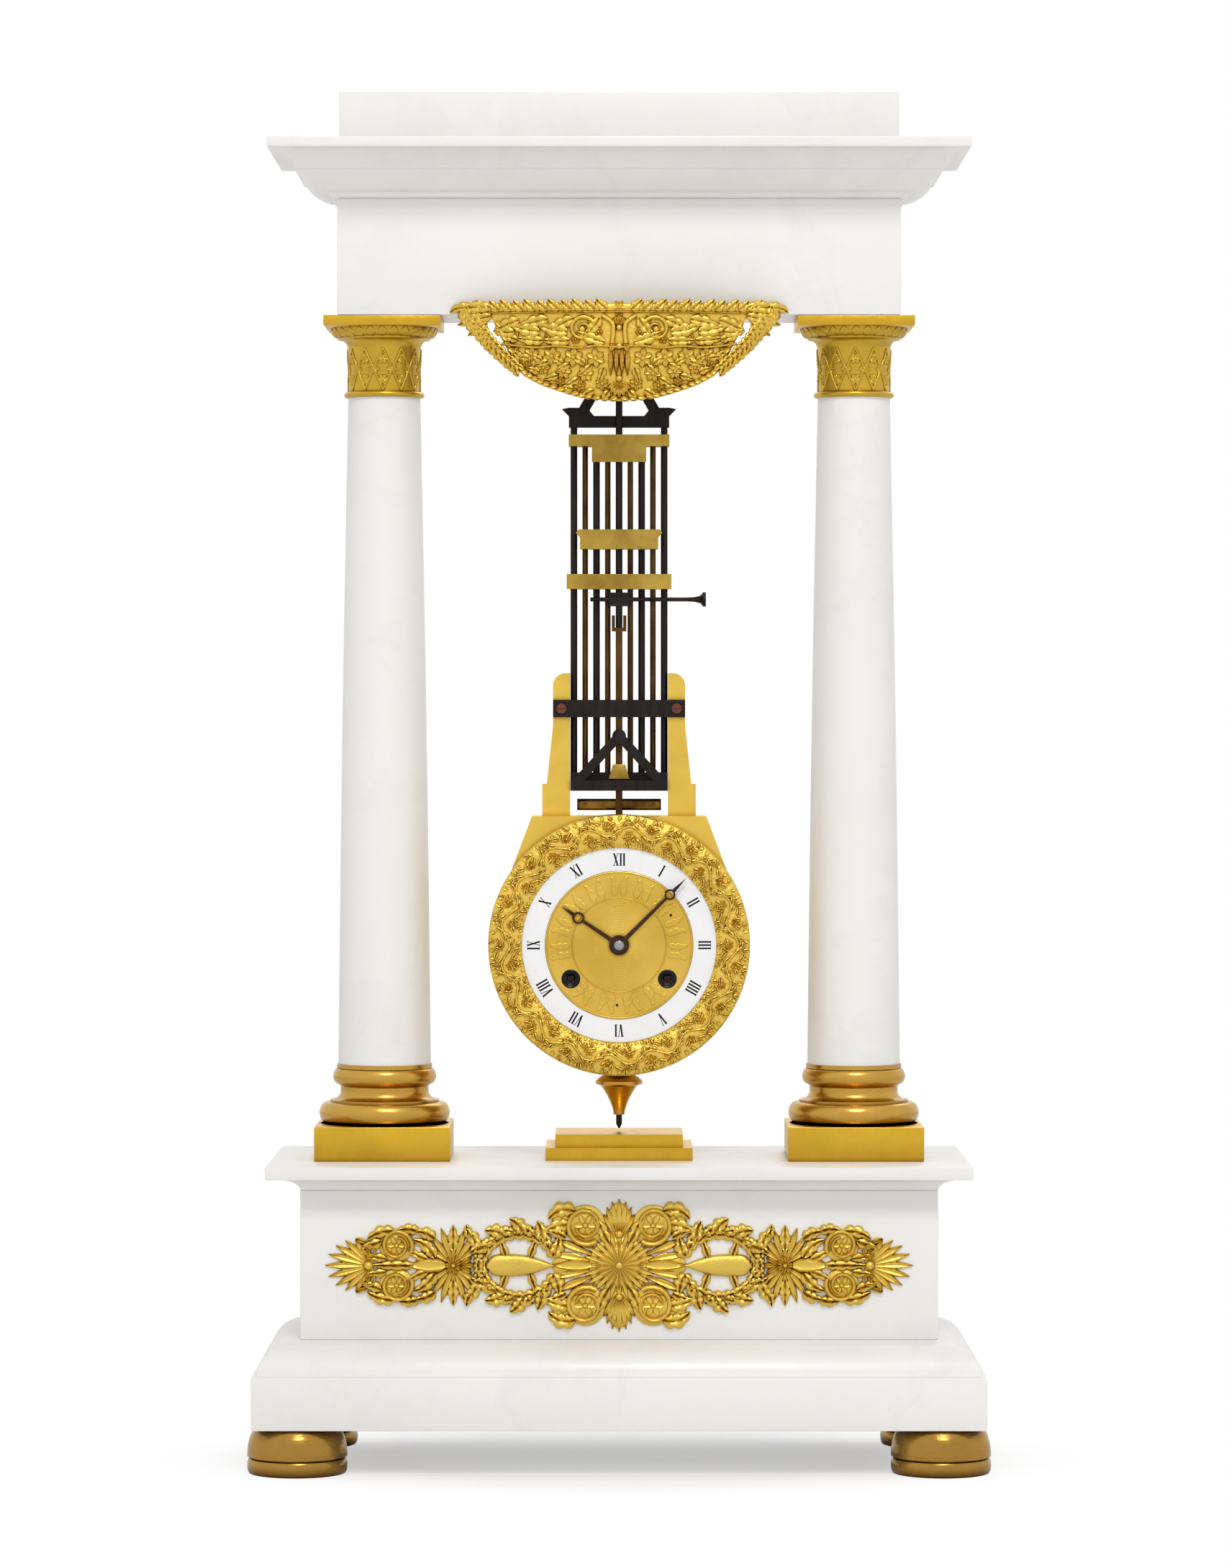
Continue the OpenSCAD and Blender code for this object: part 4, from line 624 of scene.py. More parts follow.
def make_base_mount():
    """Long mount on the base: a sun, four roundels, two cartouches, fans and end palmettes."""
    low, high = box_mm("base_mount")
    half_w, half_h, thick = (high.x - low.x) / 2, (high.z - low.z) / 2, high.y - low.y
    whole = Relief(on_front((low.x + high.x) / 2, high.y, (low.z + high.z) / 2))
    top = 0.95 * thick
    full, most, some, low_h, ground = 0.85 * top, 0.75 * top, 0.62 * top, 0.48 * top, 0.26 * top
    # Sun: a low dome with fine rays on longer rays, and a palmette above and below
    whole.plate(oval(0, 0, 13, 13), ground)
    for i in range(24):
        whole.petal(0, 0, 15 * i, 15.4, 3.0, 0.5 * top, 1.9, 0.3)
    whole.bead(0, 0, 10.5, some, 40, 8)
    for i in range(20):
        whole.petal(0, 0, 18 * i, 10.6, 1.5, most, 1.4, 0.0)
    whole.bead(0, 0, 2.2, top)
    for sv in (1, -1):
        r = whole.mirror(1, sv)
        r.plate(oval(0, 19, 5.0, 8.0), 1.06 * ground)
        r.fan(0, 11.5, 90, 36, 7, half_h - 11.8, 12.5, 3.4, low_h)
        r.bead(0, 13.5, 2.0, top)
    for su, sv in QUARTERS:
        r = whole.mirror(su, sv)
        # Rays between the sun and the cartouche
        for angle, reach in ((10, 17.5), (22, 16.0), (33, 12.0)):
            c, s = heading(angle)
            r.petal(13 * c, 13 * s, angle, reach, 4.0, low_h, 1.5, 0.5)
        # Scroll with a flower in it, and its leaves
        r.plate(oval(*SCROLL_AT, 8.8, 8.8), 1.12 * ground)
        r.plate(oval(23.5, 19.5, 5.0, 5.4), 1.18 * ground)
        r.scroll(*SCROLL_AT, 8.4, -125, 1, 1.3, 2.8, full, 0.5)
        r.rosette(*SCROLL_AT, 5.2, 6, low_h)
        r.leaves((19.5, 23.5, 22, 12.5, 8.0, full, -80), (21.5, 17.5, 2, 11.5, 7.4, most, -40),
                 (4.6, 10.0, 62, 14, 6.4, most), (23.0, 12.0, 34, 9, 5.4, most, -30))
        # Frame of leaves about the cartouche, tied to it by stems
        for k in range(10):
            a = 163 - 16 * k
            c, s = heading(a)
            turn, length, width = (62, 7.4, 5.6) if k % 2 else (34, 8.8, 7.6)
            r.leaves((CARTOUCHE_U + 15.4 * c, 14.2 * s, a - turn, length, width, full, -40),
                     (CARTOUCHE_U + 16.4 * c, 14.0 * s, a - 118, 6.6, 5.6, most, 36, 2))
        for u in (38.5, 48.5):
            r.leaf(u, 3.6, 90 + 4 * (CARTOUCHE_U - u), 9.5, 4.2, some, 0, 2)
            r.rosette(u, 14.4, 2.8, 6, some)
        # Open fan, and the leaves on both sides of it
        r.fan(FAN_U, 0.6, 90, 60, 7, 16.8, 14.6, 3.3, low_h)
        r.leaves((FAN_U, 6.5, 90, 10.8, 6.0, some), (61.0, 7.5, 74, 10.5, 6.4, most, -34),
                 (64.0, 12.0, 58, 6.0, 5.0, full, 30, 2), (79.5, 3.5, 66, 12.5, 6.6, most, -54),
                 (79.5, 11.5, 44, 9.5, 6.2, full, -50), (86.5, 14.6, 24, 9.5, 5.6, full, -44),
                 (82.5, 2.6, 16, 10.0, 5.0, some, 22, 2))
        # Scroll and flower by the end
        r.plate(oval(*END_SCROLL_AT, 7.4, 7.4), 1.06 * ground)
        r.scroll(*END_SCROLL_AT, 7.0, 205, -1, 1.3, 2.4, full, 0.5)
        r.rosette(*END_SCROLL_AT, 4.4, 6, low_h)
        r.leaves((97, 14.6, 8, 12.5, 6.4, full, -48), (102.5, 10.5, -26, 9, 5.8, most, 20, 2),
                 (100.5, 2.8, 12, 9.0, 5.0, some, -10, 2))
        r.scroll(107.6, 5.9, 3.0, 20, 1, 1.15, 1.6, full, 0.4)
        r.petal(108.5, 9.5, 24, 5.4, 2.6, most)
    for su in (1, -1):
        r = whole.mirror(su)
        r.plate(oval(21, 0, 8.0, 5.5), 1.03 * ground)
        r.petal(12, 0, 0, 17.5, 5.6, full, 0.8, 0.35)
        r.band(CARTOUCHE_U, 0, (17.6, 16.2), (16.0, 11.8), 0.97 * ground)
        cartouche(r, 28.2, 28.6, 9.8, most)
        for k in range(-3, 4):
            r.bead(59.4, 2.1 * k, 1.5, full, 10, 3)
            r.bead(61.8, 2.1 * k, 1.2, most, 10, 3)
        r.rosette(FAN_U, 0, 4.4, 7, some)
        r.fan(69, 0, 180, 34, 3, 7.5, 6.5, 3.0, most)
        r.petal(75, 0, 0, 16.5, 7.2, full, 0.8, 0.35)
        r.leaf(88.5, 0, 0, 19, 5.4, full, 0, 4)
        r.plate(oval(112.5, 0, 7.0, 6.8), ground)
        r.fan(END_FAN_U, 0, 0, 78, 11, half_w - END_FAN_U - 0.3, 10.5, 3.4, low_h)
        r.bead(108, 0, 2.4, top)
    whole.shape.piece("base_mount_gilt", GILT_MOUNT, "case", ["base_mount"], "gilt", sharp=50)


def cartouche(r, start, length, width, height):
    """Plain polished tongue: pointed at its start and blunt at its end."""
    steps, full_at, blunt_at = 20, 0.62, 0.84
    widths = []
    for t in (i / steps for i in range(steps + 1)):
        share = sin(pi / 2 * min(1.0, t / full_at)) ** 0.85
        if t > blunt_at:
            share *= sqrt(1 - 0.96 * ((t - blunt_at) / (1 - blunt_at)) ** 2)
        widths.append(max(0.3, width * share))
    path = [(start + length * i / steps, 0) for i in range(steps + 1)]
    r.skin(path, widths, lambda i, q: height * max(0.0, 1 - q ** 4) ** 0.5, LEAF_SIDES)


# Half width of the lambrequin's bowl at heights under the frieze
BOWL_EDGE = [(56.5, -0.1), (54.2, -4), (51.4, -10), (48.6, -15.5), (46.4, -19.5), (44.6, -23.2), (41.5, -27),
             (34, -31.2), (24.2, -34.6), (15.4, -37), (8, -38), (0.5, -38.3)]
# Middle line of its handle
HANDLE = [(67.5, 1.5), (62.8, -3.6), (59.0, -8.2), (55.6, -12.4), (51.4, -16.8), (47.4, -20.6), (43.6, -24)]


def make_lambrequin():
    """Hanging bowl of cast foliage under the frieze, with a leafy crest and two handles."""
    low, high = box_mm("lambrequin")
    frieze_z = box_mm("frieze_block")[0].z
    half_w, front = (high.x - low.x) / 2, low.y
    relief_h, shell = 1.9, 2.2
    bulge = high.y - front - relief_h
    ball_r = (half_w ** 2 + bulge ** 2) / (2 * bulge)
    crest_h, mid_v = 5.5, -10.0

    def place(u, v, h):
        ground = front + relief_h + (u * u + 0.35 * (v - mid_v) ** 2) / (2 * ball_r)
        return (u, min(ground - h, high.y), frieze_z + v)

    whole = Relief(place)
    # Bowl: a thin shell between two surfaces
    columns, rows = 48, 24
    top_v, low_v = BOWL_EDGE[0][1], BOWL_EDGE[-1][1]
    rings = []
    for k in range(rows + 1):
        v = top_v + (low_v - top_v) * k / rows
        half = next((u0 + (u1 - u0) * (v - v0) / (v1 - v0)
                     for (u0, v0), (u1, v1) in zip(BOWL_EDGE, BOWL_EDGE[1:]) if v1 <= v <= v0), 0.5)
        us = [half * (2 * i / columns - 1) for i in range(columns + 1)]
        rings.append([place(u, v, 0) for u in us] + [place(u, v, -shell) for u in reversed(us)])
    whole.shape.rings(rings)
    # Crest: a band with overlapping leaves
    whole.stem([(u, 2.1) for u in range(-58, 59, 4)], 4.0, 0.9, 1.0)
    whole.stem([(u, 0.2) for u in range(-58, 59, 4)], 0.9, 1.3, 1.0)
    for i in range(-11, 12):
        away, u = (i > 0) - (i < 0), 5.2 * i
        if not away:
            whole.rosette(0, 2.2, 3.2, 6, 1.3)
            continue
        whole.leaf(u, 1.4, 90 - 62 * away, crest_h + (1.2 if i % 2 else 0.4), 5.4, 1.8, 30 * away, 2)
        whole.petal(u + 2.4 * away, 0.8, 90 + 20 * away, 3.4, 2.6, 1.5)
    for su in (1, -1):
        r = whole.mirror(su)
        # Lyre, scrolls and sprays in the upper field
        r.stem([(3.0, -13.4), (2.5, -9), (3.0, -4.5), (7.2, -1.4)], 2.4, 1.8, 0.9)
        r.petal(2.4, -12.6, -74, 5.0, 3.2, 1.6)
        r.scroll(16, -7.2, 5.8, 150, -1, 1.35, 2.2, 1.8, 0.3)
        r.bead(16, -7.2, 1.6, 1.8)
        for u, v, angle, length, width, bend in (
            (8.5, -2.6, -62, 10, 4.6, 30), (6.5, -13, 14, 13, 4.8, 14), (20, -2.8, -20, 12, 5.0, -14),
            (22.5, -8.5, 6, 13, 5.6, 16), (21.5, -12.2, -6, 12, 4.4, 16), (31, -3.0, -8, 13, 5.2, -10),
            (34.5, -8.2, 4, 12.5, 5.4, 18), (33, -12, -4, 12, 4.2, 22), (43.5, -3.2, -16, 12, 5.0, -14),
            (45.5, -8.2, -8, 9, 4.8, 26), (44, -11.6, 16, 8, 3.6, 10),
        ):
            r.leaf(u, v, angle, length, 1.35 * width, 1.75, bend)
        for u, v in ((12, -3.4), (27, -6.2), (39, -5.8), (30.5, -10.6), (42, -10.2), (49.5, -5.2),
                     (9.0, -8.4), (18.8, -11.6), (23.4, -4.6), (35.4, -4.4)):
            r.rosette(u, v, 2.2, 5, 1.3, 20 * u)
        # Band between the fields, and the striped foot of the lyre
        r.stem([(0, -15.2), (9, -14.4), (18, -15.3), (27, -14.5), (36, -15.0), (44, -14.2), (51, -13.2)],
               1.3, 1.6, 1.0)
        for u in (1.2, 3.6):
            r.petal(u, -16, -90, 11.5, 2.5, 1.6, 1.0)
        # Flowers and leaves in the lower field
        for u, v, size in (
            (10.2, -19.8, 4.3), (19.8, -19.4, 4.4), (29.2, -18.8, 4.2), (38, -17.8, 3.6), (45.3, -16.8, 2.6),
            (14.6, -26.4, 3.8), (24, -25.4, 3.7), (32.8, -23.8, 3.2), (40, -21.8, 2.4),
            (7.4, -30.8, 3.2), (17, -31.6, 2.8), (25.4, -29.8, 2.4),
        ):
            r.rosette(u, v, size, 6, 1.25, 20 * u)
        for u, v, angle, length in (
            (12, -23, -40, 6.5), (21.5, -22.4, -25, 6.5), (30.6, -21.2, -15, 6.5), (39, -19.6, 10, 6),
            (6.6, -24, -70, 6.5), (17.6, -28.6, -30, 6), (26.6, -27.2, -15, 6), (34.6, -25.6, 20, 5.5),
            (11, -33.6, -25, 6), (4.4, -34, -50, 5), (14.8, -22.2, 35, 5), (24.4, -22, 30, 5),
            (33.6, -20.6, 30, 5), (20, -33, 10, 5), (42.4, -19.4, 40, 5),
        ):
            r.leaf(u, v, angle, length, 4.2, 1.5, 0, 2)
        # Border along the bowl's edge
        for (u0, v0), (u1, v1) in zip(BOWL_EDGE[1:], BOWL_EDGE[2:]):
            count = max(1, round(hypot(u1 - u0, v1 - v0) / 3.2))
            away = degrees(atan2(v1 - v0, u1 - u0))
            for t in (k / count for k in range(count)):
                r.petal(0.985 * (u0 + (u1 - u0) * t), v0 + (v1 - v0) * t + 0.5, away - 18, 4.0, 2.8, 1.6)
        # Handle: a garland of leaves, with a mass of leaves at the corner
        r.stem(HANDLE, 3.4, 1.2, 0.75)
        for k, ((u0, v0), (u1, v1)) in enumerate(zip(HANDLE, HANDLE[1:])):
            away = degrees(atan2(v1 - v0, u1 - u0))
            size = 7.4 - 0.35 * k
            for t in (0.0, 0.5):
                u, v = u0 + (u1 - u0) * t, v0 + (v1 - v0) * t
                r.leaf(u, v, away + 42, size, 0.78 * size, 1.8, -30, 2)
                r.leaf(u, v, away - 34, 0.8 * size, 0.6 * size, 1.7, 24, 2)
                r.bead(u, v, 1.1, 1.85, 8, 3)
        r.leaves((55.5, 2.6, 4, 17.5, 6.4, 1.8, -12, 4), (55.5, -1.2, -8, 15, 6.4, 1.8, -12, 4),
                 (57, -4.4, -24, 10, 5.0, 1.7, -14), (65.5, 2.6, 16, 8.5, 5.4, 1.8, -60, 2),
                 (66.0, 3.0, -78, 8.5, 6.2, 1.8, -30), (61.5, -0.5, -64, 9.0, 6.0, 1.75, -30))
        r.rosette(62.5, 0.6, 3.0, 6, 1.5)
    whole.fan(0, -30, -90, 62, 7, 7.4, 6.0, 2.8, 1.6)
    whole.fan(0, -6, 90, 40, 5, 5.4, 4.6, 2.4, 1.7)
    for v in (-6.6, -14.6, -28.6):
        whole.bead(0, v, 1.6, 1.8)
    whole.shape.piece("lambrequin_gilt", GILT_RELIEF, "case", ["lambrequin"], "gilt", sharp=50)


BEZEL_LIP_R = 54.9      # back of the bezel, which goes into the dial plate


def make_bezel():
    """Bezel with dense running foliage between two edges."""
    low, high = box_mm("bezel_ring")
    enamel_low, enamel_high = box_mm("chapter_ring")
    outer = (high.x - low.x) / 2
    inner = (enamel_high.x - enamel_low.x) / 2 + 0.1
    front, back = low.y, high.y
    relief_h, crown_h, lip, edge = 1.3, 1.5, 1.5, 0.4
    crown_steps, beads, edge_leaves = 16, 110, 90
    crown_y = front + relief_h
    middle = (inner + outer) / 2

    def crown(radius):
        return crown_y + crown_h * (2 * (radius - inner) / (outer - inner) - 1) ** 2

    profile = [(inner, back - lip), (inner, crown_y + crown_h - 0.2)]
    for i in range(crown_steps + 1):
        radius = inner + edge + (outer - inner - 2 * edge) * i / crown_steps
        profile.append((radius, crown(radius)))
    profile += [(outer, crown_y + crown_h + 0.7), (outer, back), (BEZEL_LIP_R, back),
                (BEZEL_LIP_R, back - lip)]
    shape = hoop(profile, 0, DIAL_Z, 128)

    def place(u, v, h):
        reach = hypot(u, v)
        radius = min(max(reach, inner + 0.2), outer - 0.2)
        return (u * radius / reach, crown(radius) - h, DIAL_Z + v * radius / reach)

    def polar(angle, radius):
        c, s = heading(angle)
        return radius * s, radius * c

    r = Relief(place, shape)
    waves, swing, steps = 17, 2.2, 10
    stem = []
    for i in range(waves * steps + 1):
        a = 360 * i / (waves * steps)
        stem.append(polar(a, middle + swing * sin(radians(waves * a))))
    r.rib(stem, [1.1] * len(stem), [1.0] * len(stem))
    for k in range(2 * waves):
        a = 360 * (k + 0.5) / (2 * waves)
        side = 1 if k % 2 else -1
        along = 90 - a
        r.rosette(*polar(a, middle + side * 1.9), 2.0 if k % 3 else 2.3, 6 + k % 2, 1.2, 20 * k)
        # Leaves about the flower: turned by degrees round the dial, out from the middle, direction, length
        for da, out, turn, length in ((-3.4, 3.4, 62, 4.0), (3.4, 3.4, 118, 4.0), (-1.0, 4.4, 150, 3.6),
                                      (2.0, 4.9, 20, 3.2), (-4.0, -1.4, -128, 4.2), (4.0, -1.4, -52, 4.2),
                                      (0.6, -3.2, -84, 3.6), (2.6, -4.4, -10, 3.6), (-2.6, -4.4, 190, 3.6),
                                      (0.0, -5.2, -150, 3.0)):
            at = polar(a + da, middle + side * out)
            r.leaf(*at, along + side * turn, length, 0.62 * length, 1.25, 20 * side, 2)
    for k in range(beads):
        r.bead(*polar(360 * k / beads, inner + 0.9), 0.8, 0.8, 8, 3)
    for k in range(edge_leaves):
        a = 360 / edge_leaves * k
        r.petal(*polar(a, outer - 2.6), 90 - a + (16 if k % 2 else -16), 2.2, 2.2, 1.0, 1.3, steps=4)
    shape.piece("bezel_gilt", GILT_CHASED, "pendulum", ["bezel_ring"], "gilt", sharp=50)


ABACUS_H = 4.5
CAPITAL_NECK_R = 15.6
BASE_WAIST_R = 19.3


def make_columns():
    """Square blocks with eased edges, turned bases, and capitals with a lattice and leaves."""
    low, high = box_mm("column_blocks")
    half = (high.y - low.y) / 2
    for name, replaced in (("left", ["column_blocks"]), ("right", [])):
        shaft_low, shaft_high = box_mm(f"column_shaft_{name}")
        x = (shaft_low.x + shaft_high.x) / 2
        shape = block((x - half, -half, low.z), (x + half, half, high.z))
        shape.piece(f"column_block_{name}_gilt", GILT_PLAIN, "case", replaced, "gilt", 0.5)
        make_base(f"column_base_{name}", x)
        make_capital(f"capital_{name}", f"abacus_{name}", x)


def make_base(node, x):
    """Turned base of a column: a torus, a hollow and a smaller torus."""
    low, high = box_mm(node)
    ring_r, h, waist = (high.x - low.x) / 2, high.z - low.z, BASE_WAIST_R
    profile = [(0, 0), (ring_r - 1, 0)] + half_round(ring_r - 3.9, 0, 0.36 * h, 3.4)
    profile += [(waist + 4.5, 0.36 * h), (waist + 4.5, 0.4 * h)]
    for i in range(11):
        a = pi / 2 * i / 10
        profile.append((waist + 4 * (1 - sin(a)), (0.4 + 0.15 * (1 - cos(a))) * h))
    profile += [(waist, 0.62 * h), (waist + 0.9, 0.66 * h)]
    profile += half_round(waist + 0.9, 0.66 * h, 0.93 * h, 2.4)
    profile += [(waist + 1.6, 0.93 * h), (waist + 1.6, h), (0, h)]
    lathe(profile, (x, 0, low.z)).piece(f"{node}_gilt", GILT_TURNED, "case", [node], "gilt", sharp=40)


def make_capital(node, abacus, x):
    """Capital: a bead, a neck with a lattice of flowers, a leafy echinus and the abacus."""
    low, high = box_mm(node)
    half, neck = (high.x - low.x) / 2, CAPITAL_NECK_R
    h = high.z - low.z - ABACUS_H
    bead, neck_top = 0.085 * h, 0.70 * h
    echinus = arc(neck + 5.0, 0.87 * h, half - 2.2, h, True, 0.2)
    profile = [(0, 0), (neck + 0.2, 0)] + half_round(neck + 0.6, 0, bead, 1.4)
    profile += [(neck, bead + 0.3), (neck + 0.4, neck_top)]
    profile += arc(neck + 0.4, neck_top, neck + 4.0, 0.84 * h, False)
    profile += [(neck + 4.6, 0.84 * h), (neck + 4.6, 0.87 * h)]
    profile += echinus + [(0, h)]
    centre = (x, 0, low.z)
    shape = lathe(profile, centre)
    # Lattice and flowers round the neck
    r = Relief(on_turned([(neck, bead + 0.3), (neck + 0.4, neck_top)], centre, neck), shape)
    around, rows, relief_h, flower_r, steps = 12, 2, 0.5, 2.7, 12
    tall = neck_top - bead - 0.3
    cell, row_h = 2 * pi * neck / around, tall / rows
    for k in range(around):
        for hand in (1, -1):
            path = [(cell * (k + hand * rows * t / 2), tall * t)
                    for t in (i / steps for i in range(steps + 1))]
            r.rib(path, [1.1] * len(path), [relief_h] * len(path))
        for row in range(rows):
            r.rosette(cell * k, row_h * (row + 0.5), flower_r, 6, relief_h)
        r.rosette(cell * (k + 0.5), row_h, flower_r, 6, relief_h)
    # Leaves round the echinus
    leaves, gauge = 28, half - 4
    r = Relief(on_turned(echinus, centre, gauge), shape)
    for k in range(leaves):
        r.petal(2 * pi * gauge / leaves * k, 0.4, 90, 4.6, 4.4, 0.4, 1.1)
    shape.piece(f"{node}_gilt", GILT_CAPITAL, "case", [node], "gilt", sharp=40)
    plate = block((x - half, -half, high.z - ABACUS_H), (x + half, half, high.z))
    plate.piece(f"{abacus}_gilt", GILT_PLAIN, "case", [], "gilt", 0.4)


# Dial

NUMERALS = ("XII", "I", "II", "III", "IIII", "V", "VI", "VII", "VIII", "IX", "X", "XI")
NUMERAL_H = 5.4
THICK, THIN, SERIF = 0.72, 0.26, 0.22   # strokes of the numerals
CHAPTER_IN_R = 32.2
WINDING_AT = ((-21.0, -14.7), (21.0, -14.7))


def strokes(letter):
    """Strokes of one letter as (x0, y0, x1, y1, width), and the letter's own width."""
    h, foot, head = NUMERAL_H, SERIF / 2, NUMERAL_H - SERIF / 2
    if letter == "I":
        return [(0.55, 0, 0.55, h, THICK), (0, foot, 1.1, foot, SERIF), (0, head, 1.1, head, SERIF)], 1.1
    if letter == "V":
        return [(0.5, h, 1.3, 0, THICK), (2.1, h, 1.3, 0, THIN), (0, head, 1.0, head, SERIF),
                (1.7, head, 2.5, head, SERIF)], 2.5
    return [(0.5, h, 2.1, 0, THICK), (2.1, h, 0.5, 0, THIN), (0, head, 1.0, head, SERIF),
            (1.7, head, 2.6, head, SERIF), (0, foot, 0.9, foot, SERIF), (1.6, foot, 2.6, foot, SERIF)], 2.6


def make_numerals():
    """Roman numerals, raised a little from the enamel, with their feet to the centre."""
    low, high = box_mm("chapter_ring")
    gap, rise, sunk = 0.3, 0.05, 0.1
    foot_r = ((high.x - low.x) / 2 + CHAPTER_IN_R - NUMERAL_H) / 2
    shape = Shape()
    for hour, text in enumerate(NUMERALS):
        pen = -(sum(strokes(letter)[1] for letter in text) + gap * (len(text) - 1)) / 2
        c, s = heading(30 * hour)
        for letter in text:
            drawn, width = strokes(letter)
            for x0, y0, x1, y1, stroke in drawn:
                length = hypot(x1 - x0, y1 - y0)
                nx, ny = (y1 - y0) / length * stroke / 2, (x0 - x1) / length * stroke / 2
                corners = [(x0 + nx, y0 + ny), (x1 + nx, y1 + ny), (x1 - nx, y1 - ny), (x0 - nx, y0 - ny)]
                rings = []
                for y in (low.y + sunk, low.y - rise):
                    turned = [(pen + px, foot_r + py) for px, py in corners]
                    rings.append([(tx * c + tz * s, y, DIAL_Z - tx * s + tz * c) for tx, tz in turned])
                shape.rings(rings)
            pen += width + gap
    shape.piece("numerals_black", INK, "pendulum", [], "steel")


def wire_ring(radius, wire, y):
    """Wire ring about the dial's axis."""
    return hoop([(radius + wire * cos(b), y + wire * sin(b)) for b in circle(8)], 0, DIAL_Z)


def make_dial():
    """Rings and faint leaves of the gilt dial, and the dark collars of its winding holes."""
    front = box_mm("dial_centre")[0].y
    ring_y, leaf_ring_r, count = front + 0.05, 21.6, 30
    shape = wire_ring(20.5, 0.3, ring_y).join(wire_ring(CHAPTER_IN_R - 0.4, 0.4, ring_y))
    r = Relief(on_front(0, front, DIAL_Z), shape)
    clear_of_holes = 6.4
    for k in range(count):
        a, lean = 360 / count * k, 20 if k % 2 else -20
        u, v = (leaf_ring_r * share for share in heading(a))
        if min(hypot(u - x, v - z) for x, z in WINDING_AT) > clear_of_holes:
            r.leaf(u, v, a + lean, 8.6, 3.6, 0.3, -2 * lean)
            r.bead(1.36 * u, 1.36 * v, 0.8, 0.25, 8, 3)
    shape.piece("dial_relief", DIAL_GILT, "pendulum", [], "gilt", sharp=50)

    collars = Shape()
    for x, z in WINDING_AT:
        profile = [(2.1, 2.4), (2.1, 2.0), (3.2, 1.6), (3.2, -0.1), (3.6, -0.3), (4.1, -0.1), (4.1, 0.2),
                   (3.38, 0.2), (3.38, 2.4)]
        collars.join(hoop([(radius, front + y) for radius, y in profile], x, DIAL_Z + z, 48))
    r = Relief(on_front(0, front, DIAL_Z), collars)
    for u, v in ((22.5, 13.0), (-0.9, -26.1)):
        r.bead(u, v, 0.6, 0.4, 10, 3)
    collars.piece("winding_collars", INK, "pendulum", [], "blued_steel")


def make_pendulum_details():
    """Small pieces of the pendulum that the photograph shows."""
    low, high = box_mm("bottom_bar")
    bar_z = high.z - 27.0
    corners = [(-4.6, 5.2), (4.6, 5.2), (2.6, 11.6), (-2.6, 11.6)]
    wedge = Shape().rings([[(x, y, bar_z + z) for x, z in corners] for y in (low.y + 0.4, low.y + 2.2)])
    wedge.piece("triangle_wedge", BRASS, "pendulum", [], "brass", 0.3)
    # Brass face of the bar that hangs under the bottom bar
    half_l, half_h, mid_z, face_y = 17.8, 2.2, low.z + 2.5, -2.0
    r = Relief(on_front(0, face_y, mid_z))
    ends = [(-half_l, 0.7), (-half_l + 0.8, 1.0), (half_l - 0.8, 1.0), (half_l, 0.7)]
    r.skin([(u, 0) for u, _ in ends], [2 * half_h * share for _, share in ends],
           lambda i, q: 0.6 * (1 - q ** 6), LEAF_SIDES)
    for u in (-half_l + 3, half_l - 3):
        r.bead(u, 0, 1.1, 0.95)
    r.shape.piece("hanging_bar_face", BAR_BRASS, "pendulum", [], "brass")

    cap_r, y = 2.1, box_mm("minute_hand")[0].y
    profile = [(0.05, -0.9), (1.1, -0.9), (1.5, -0.6), (1.5, -0.3), (cap_r, -0.1), (cap_r, 0.3), (0.05, 0.3)]
    cap = hoop([(radius, y + dy) for radius, dy in profile], 0, DIAL_Z, 48)
    cap.piece("hand_cap", CAP_STEEL, "minute_arbor", [], "steel")


def make_rear_trim():
    """Turned border and knob of the cover on the back of the bob, and the screws that hold it."""
    back = box_mm("rear_cover")[1].y
    sink, screw_ring_r = 0.4, 46.5
    border = [(38.0, -sink), (38.4, 0.6), (39.4, 1.0), (40.4, 0.5), (41.2, 0.9), (42.0, 0.3), (42.0, -sink)]
    knob = [(0.05, -sink), (3.4, -sink), (3.4, 0.5), (1.8, 1.2), (1.6, 2.6), (2.8, 3.6), (2.6, 4.6),
            (1.4, 5.2), (0.05, 5.2)]
    trim = Shape()
    for profile in (border, knob):
        trim.join(hoop([(radius, back + y) for radius, y in profile], 0, DIAL_Z))
    trim.piece("rear_trim", GILT_CASE, "pendulum", [], "gilt")

    screws = Relief(lambda u, v, h: (-u, back + h, DIAL_Z + v))
    for angle in (30, 150, 270):
        u, v = (screw_ring_r * share for share in heading(angle))
        screws.bead(u, v, 2.2, 1.2, 24, 5)
    screws.shape.piece("rear_screws", SCREW_STEEL, "pendulum", [], "blued_steel")


# Finishes of the CAD pieces that stay

FINISHES = (
    (FOOT_BRONZE, ["feet"]),
    (GILT_PLAIN, ["index_block"]),
    (GILT_CASE, ["bob_case", "bob_brackets", "rear_cover"]),
    (GILT_TURNED, ["bob_finial"]),
    (DIAL_GILT, ["dial_centre"]),
    (ENAMEL, ["chapter_ring"]),
    (BRASS, ["top_bridge", "upper_cross_bar", "lower_cross_bar"]),
    (ROD_BRASS, ["brass_rods", "crutch"]),
    (SCREW_STEEL, ["strap_screws"]),
    (HAND_STEEL, ["hour_hand", "minute_hand"]),
    (STEEL, ["tie_rods", "suspension_bracket", "reaction_rod", "beat_screw", "hanger", "steel_rods",
             "bottom_bar", "bob_strap", "pointer_tip", "going_arbor", "strike_arbor", "anchor", "hammer"]),
)


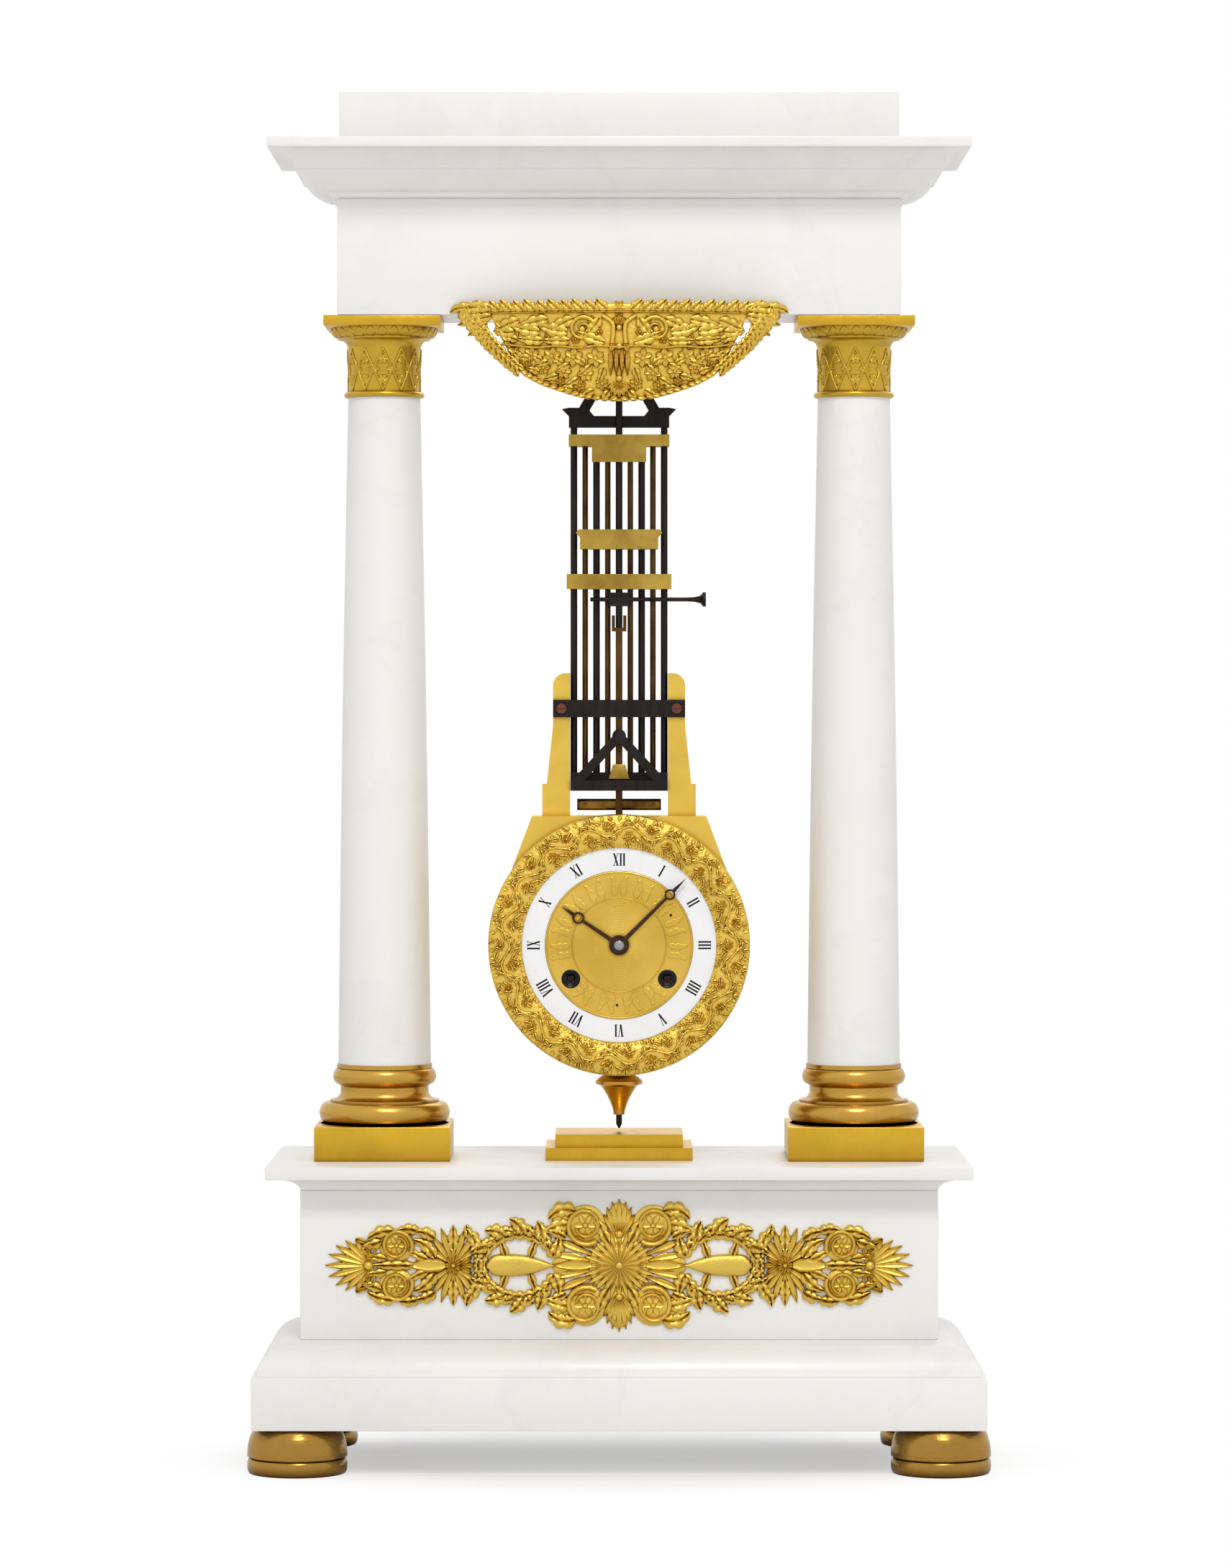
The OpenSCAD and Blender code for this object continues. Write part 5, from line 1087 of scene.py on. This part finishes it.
def dress_cad():
    """Gives each CAD node its finish: what isn't named is brass of the movement."""
    finish_of = {name: material for material, names in FINISHES for name in names}
    for name, node in nodes.items():
        node.data.materials.clear()
        node.data.materials.append(finish_of.get(name, WORK_BRASS))


# Camera, light and stage

PHOTO_W = 1708                 # width of the photograph, in pixels
MM_PER_PIXEL = 0.3073          # at the front of the lower plinth
CAMERA_BACK = 2400.0           # from the front of the lower plinth
CAMERA_X, CAMERA_Z = -2.0, 323.0
AIM_Z = 297.0                  # height in the middle of the picture
SENSOR = 36.0
WORLD_LIGHT = (0.54, 0.94)     # of the world behind the clock and in front of it
# Each lamp's place and size in metres, its power in watts and its colour
LAMPS = {
    "key": ((0.3, -2.9, 3.3), (1.0, 0.8), 56, (1.0, 0.975, 0.94)),
    "back": ((0.3, 1.6, 1.6), (1.4, 1.0), 7, (1.0, 1.0, 1.0)),
}
LAMP_AIM = Vector((0, 0, 0.3))
FLOOR_HALF = 4.0
FLOOR_STRETCH = (4.8, 8.0, 1.0)         # makes the fade an oval about the clock
FLOOR_FADE = (0.5, 1.05, 0.42, 1.0)     # where it starts and ends, and its share of white there


def add_camera():
    """Camera in front of the clock, a little above the dial and aimed slightly down."""
    data = bpy.data.cameras.new("camera")
    data.sensor_fit = "HORIZONTAL"
    data.sensor_width = SENSOR
    data.lens = SENSOR * CAMERA_BACK / (MM_PER_PIXEL * PHOTO_W)
    camera = add_object("camera", data)
    front = box_mm("lower_plinth")[0].y
    camera.location = Vector((CAMERA_X, front - CAMERA_BACK, CAMERA_Z)) * MM
    camera.rotation_euler = (pi / 2 - atan2(CAMERA_Z - AIM_Z, CAMERA_BACK), 0, 0)
    bpy.context.scene.camera = camera


def add_lamp(name, place, size, power, colour):
    """Soft rectangular lamp aimed at the middle of the clock."""
    data = bpy.data.lights.new(name, "AREA")
    data.shape = "RECTANGLE"
    data.size, data.size_y = size
    data.energy = power
    data.color = colour
    lamp = add_object(name, data)
    lamp.location = place
    lamp.rotation_euler = (LAMP_AIM - Vector(place)).to_track_quat("-Z", "Y").to_euler()


def add_light():
    """A plain white studio: an even world, brighter in front, a key lamp and a weak lamp behind."""
    world = bpy.data.worlds.new("studio")
    bpy.context.scene.world = world
    g = Graph(world, "Generated")
    rays = g.node("ShaderNodeLightPath").outputs
    seen = rays["Is Camera Ray"]
    for ray in ("Is Glossy Ray", "Is Transmission Ray"):
        seen = g.math("MAXIMUM", seen, rays[ray])
    toward = g.node("ShaderNodeSeparateXYZ", {"Vector": g.place}).outputs["Y"]
    level = g.remap(seen, 0.0, 1.0, g.remap(toward, 0.0, -1.0, *WORLD_LIGHT), 1.0)
    background = g.tree.nodes["Background"]
    background.inputs["Color"].default_value = (1, 1, 1, 1)
    g.feed(background.inputs["Strength"], level)
    for name, lamp in LAMPS.items():
        add_lamp(name, *lamp)


def add_stage():
    """Pale floor that keeps the clock's shadow and fades into the white background."""
    g = Graph(bpy.data.materials.new("pale_floor"))
    material = g.finish((0.92, 0.915, 0.91, 1), 0.7)
    reach = g.node("ShaderNodeVectorMath", {0: g.stretched(FLOOR_STRETCH)}, operation="LENGTH")
    fade = g.remap(reach.outputs["Value"], *FLOOR_FADE, interpolation_type="SMOOTHSTEP")
    share = g.math("MULTIPLY", g.node("ShaderNodeLightPath").outputs["Is Camera Ray"], fade)
    pale = g.tree.nodes["Principled BSDF"].outputs[0]
    white = g.node("ShaderNodeEmission").outputs[0]
    mix = g.node("ShaderNodeMixShader", {0: share, 1: pale, 2: white})
    g.feed(g.tree.nodes["Material Output"].inputs["Surface"], mix.outputs[0])
    mesh = bpy.data.meshes.new("floor")
    s = FLOOR_HALF
    mesh.from_pydata([(-s, -s, 0), (s, -s, 0), (s, s, 0), (-s, s, 0)], [], [(0, 1, 2, 3)])
    mesh.materials.append(material)
    add_object("floor", mesh)


dress_cad()
make_marble()
make_columns()
make_base_mount()
make_lambrequin()
make_bezel()
make_numerals()
make_dial()
make_pendulum_details()
make_rear_trim()
add_camera()
add_light()
add_stage()
bpy.context.scene.view_settings.view_transform = "Standard"
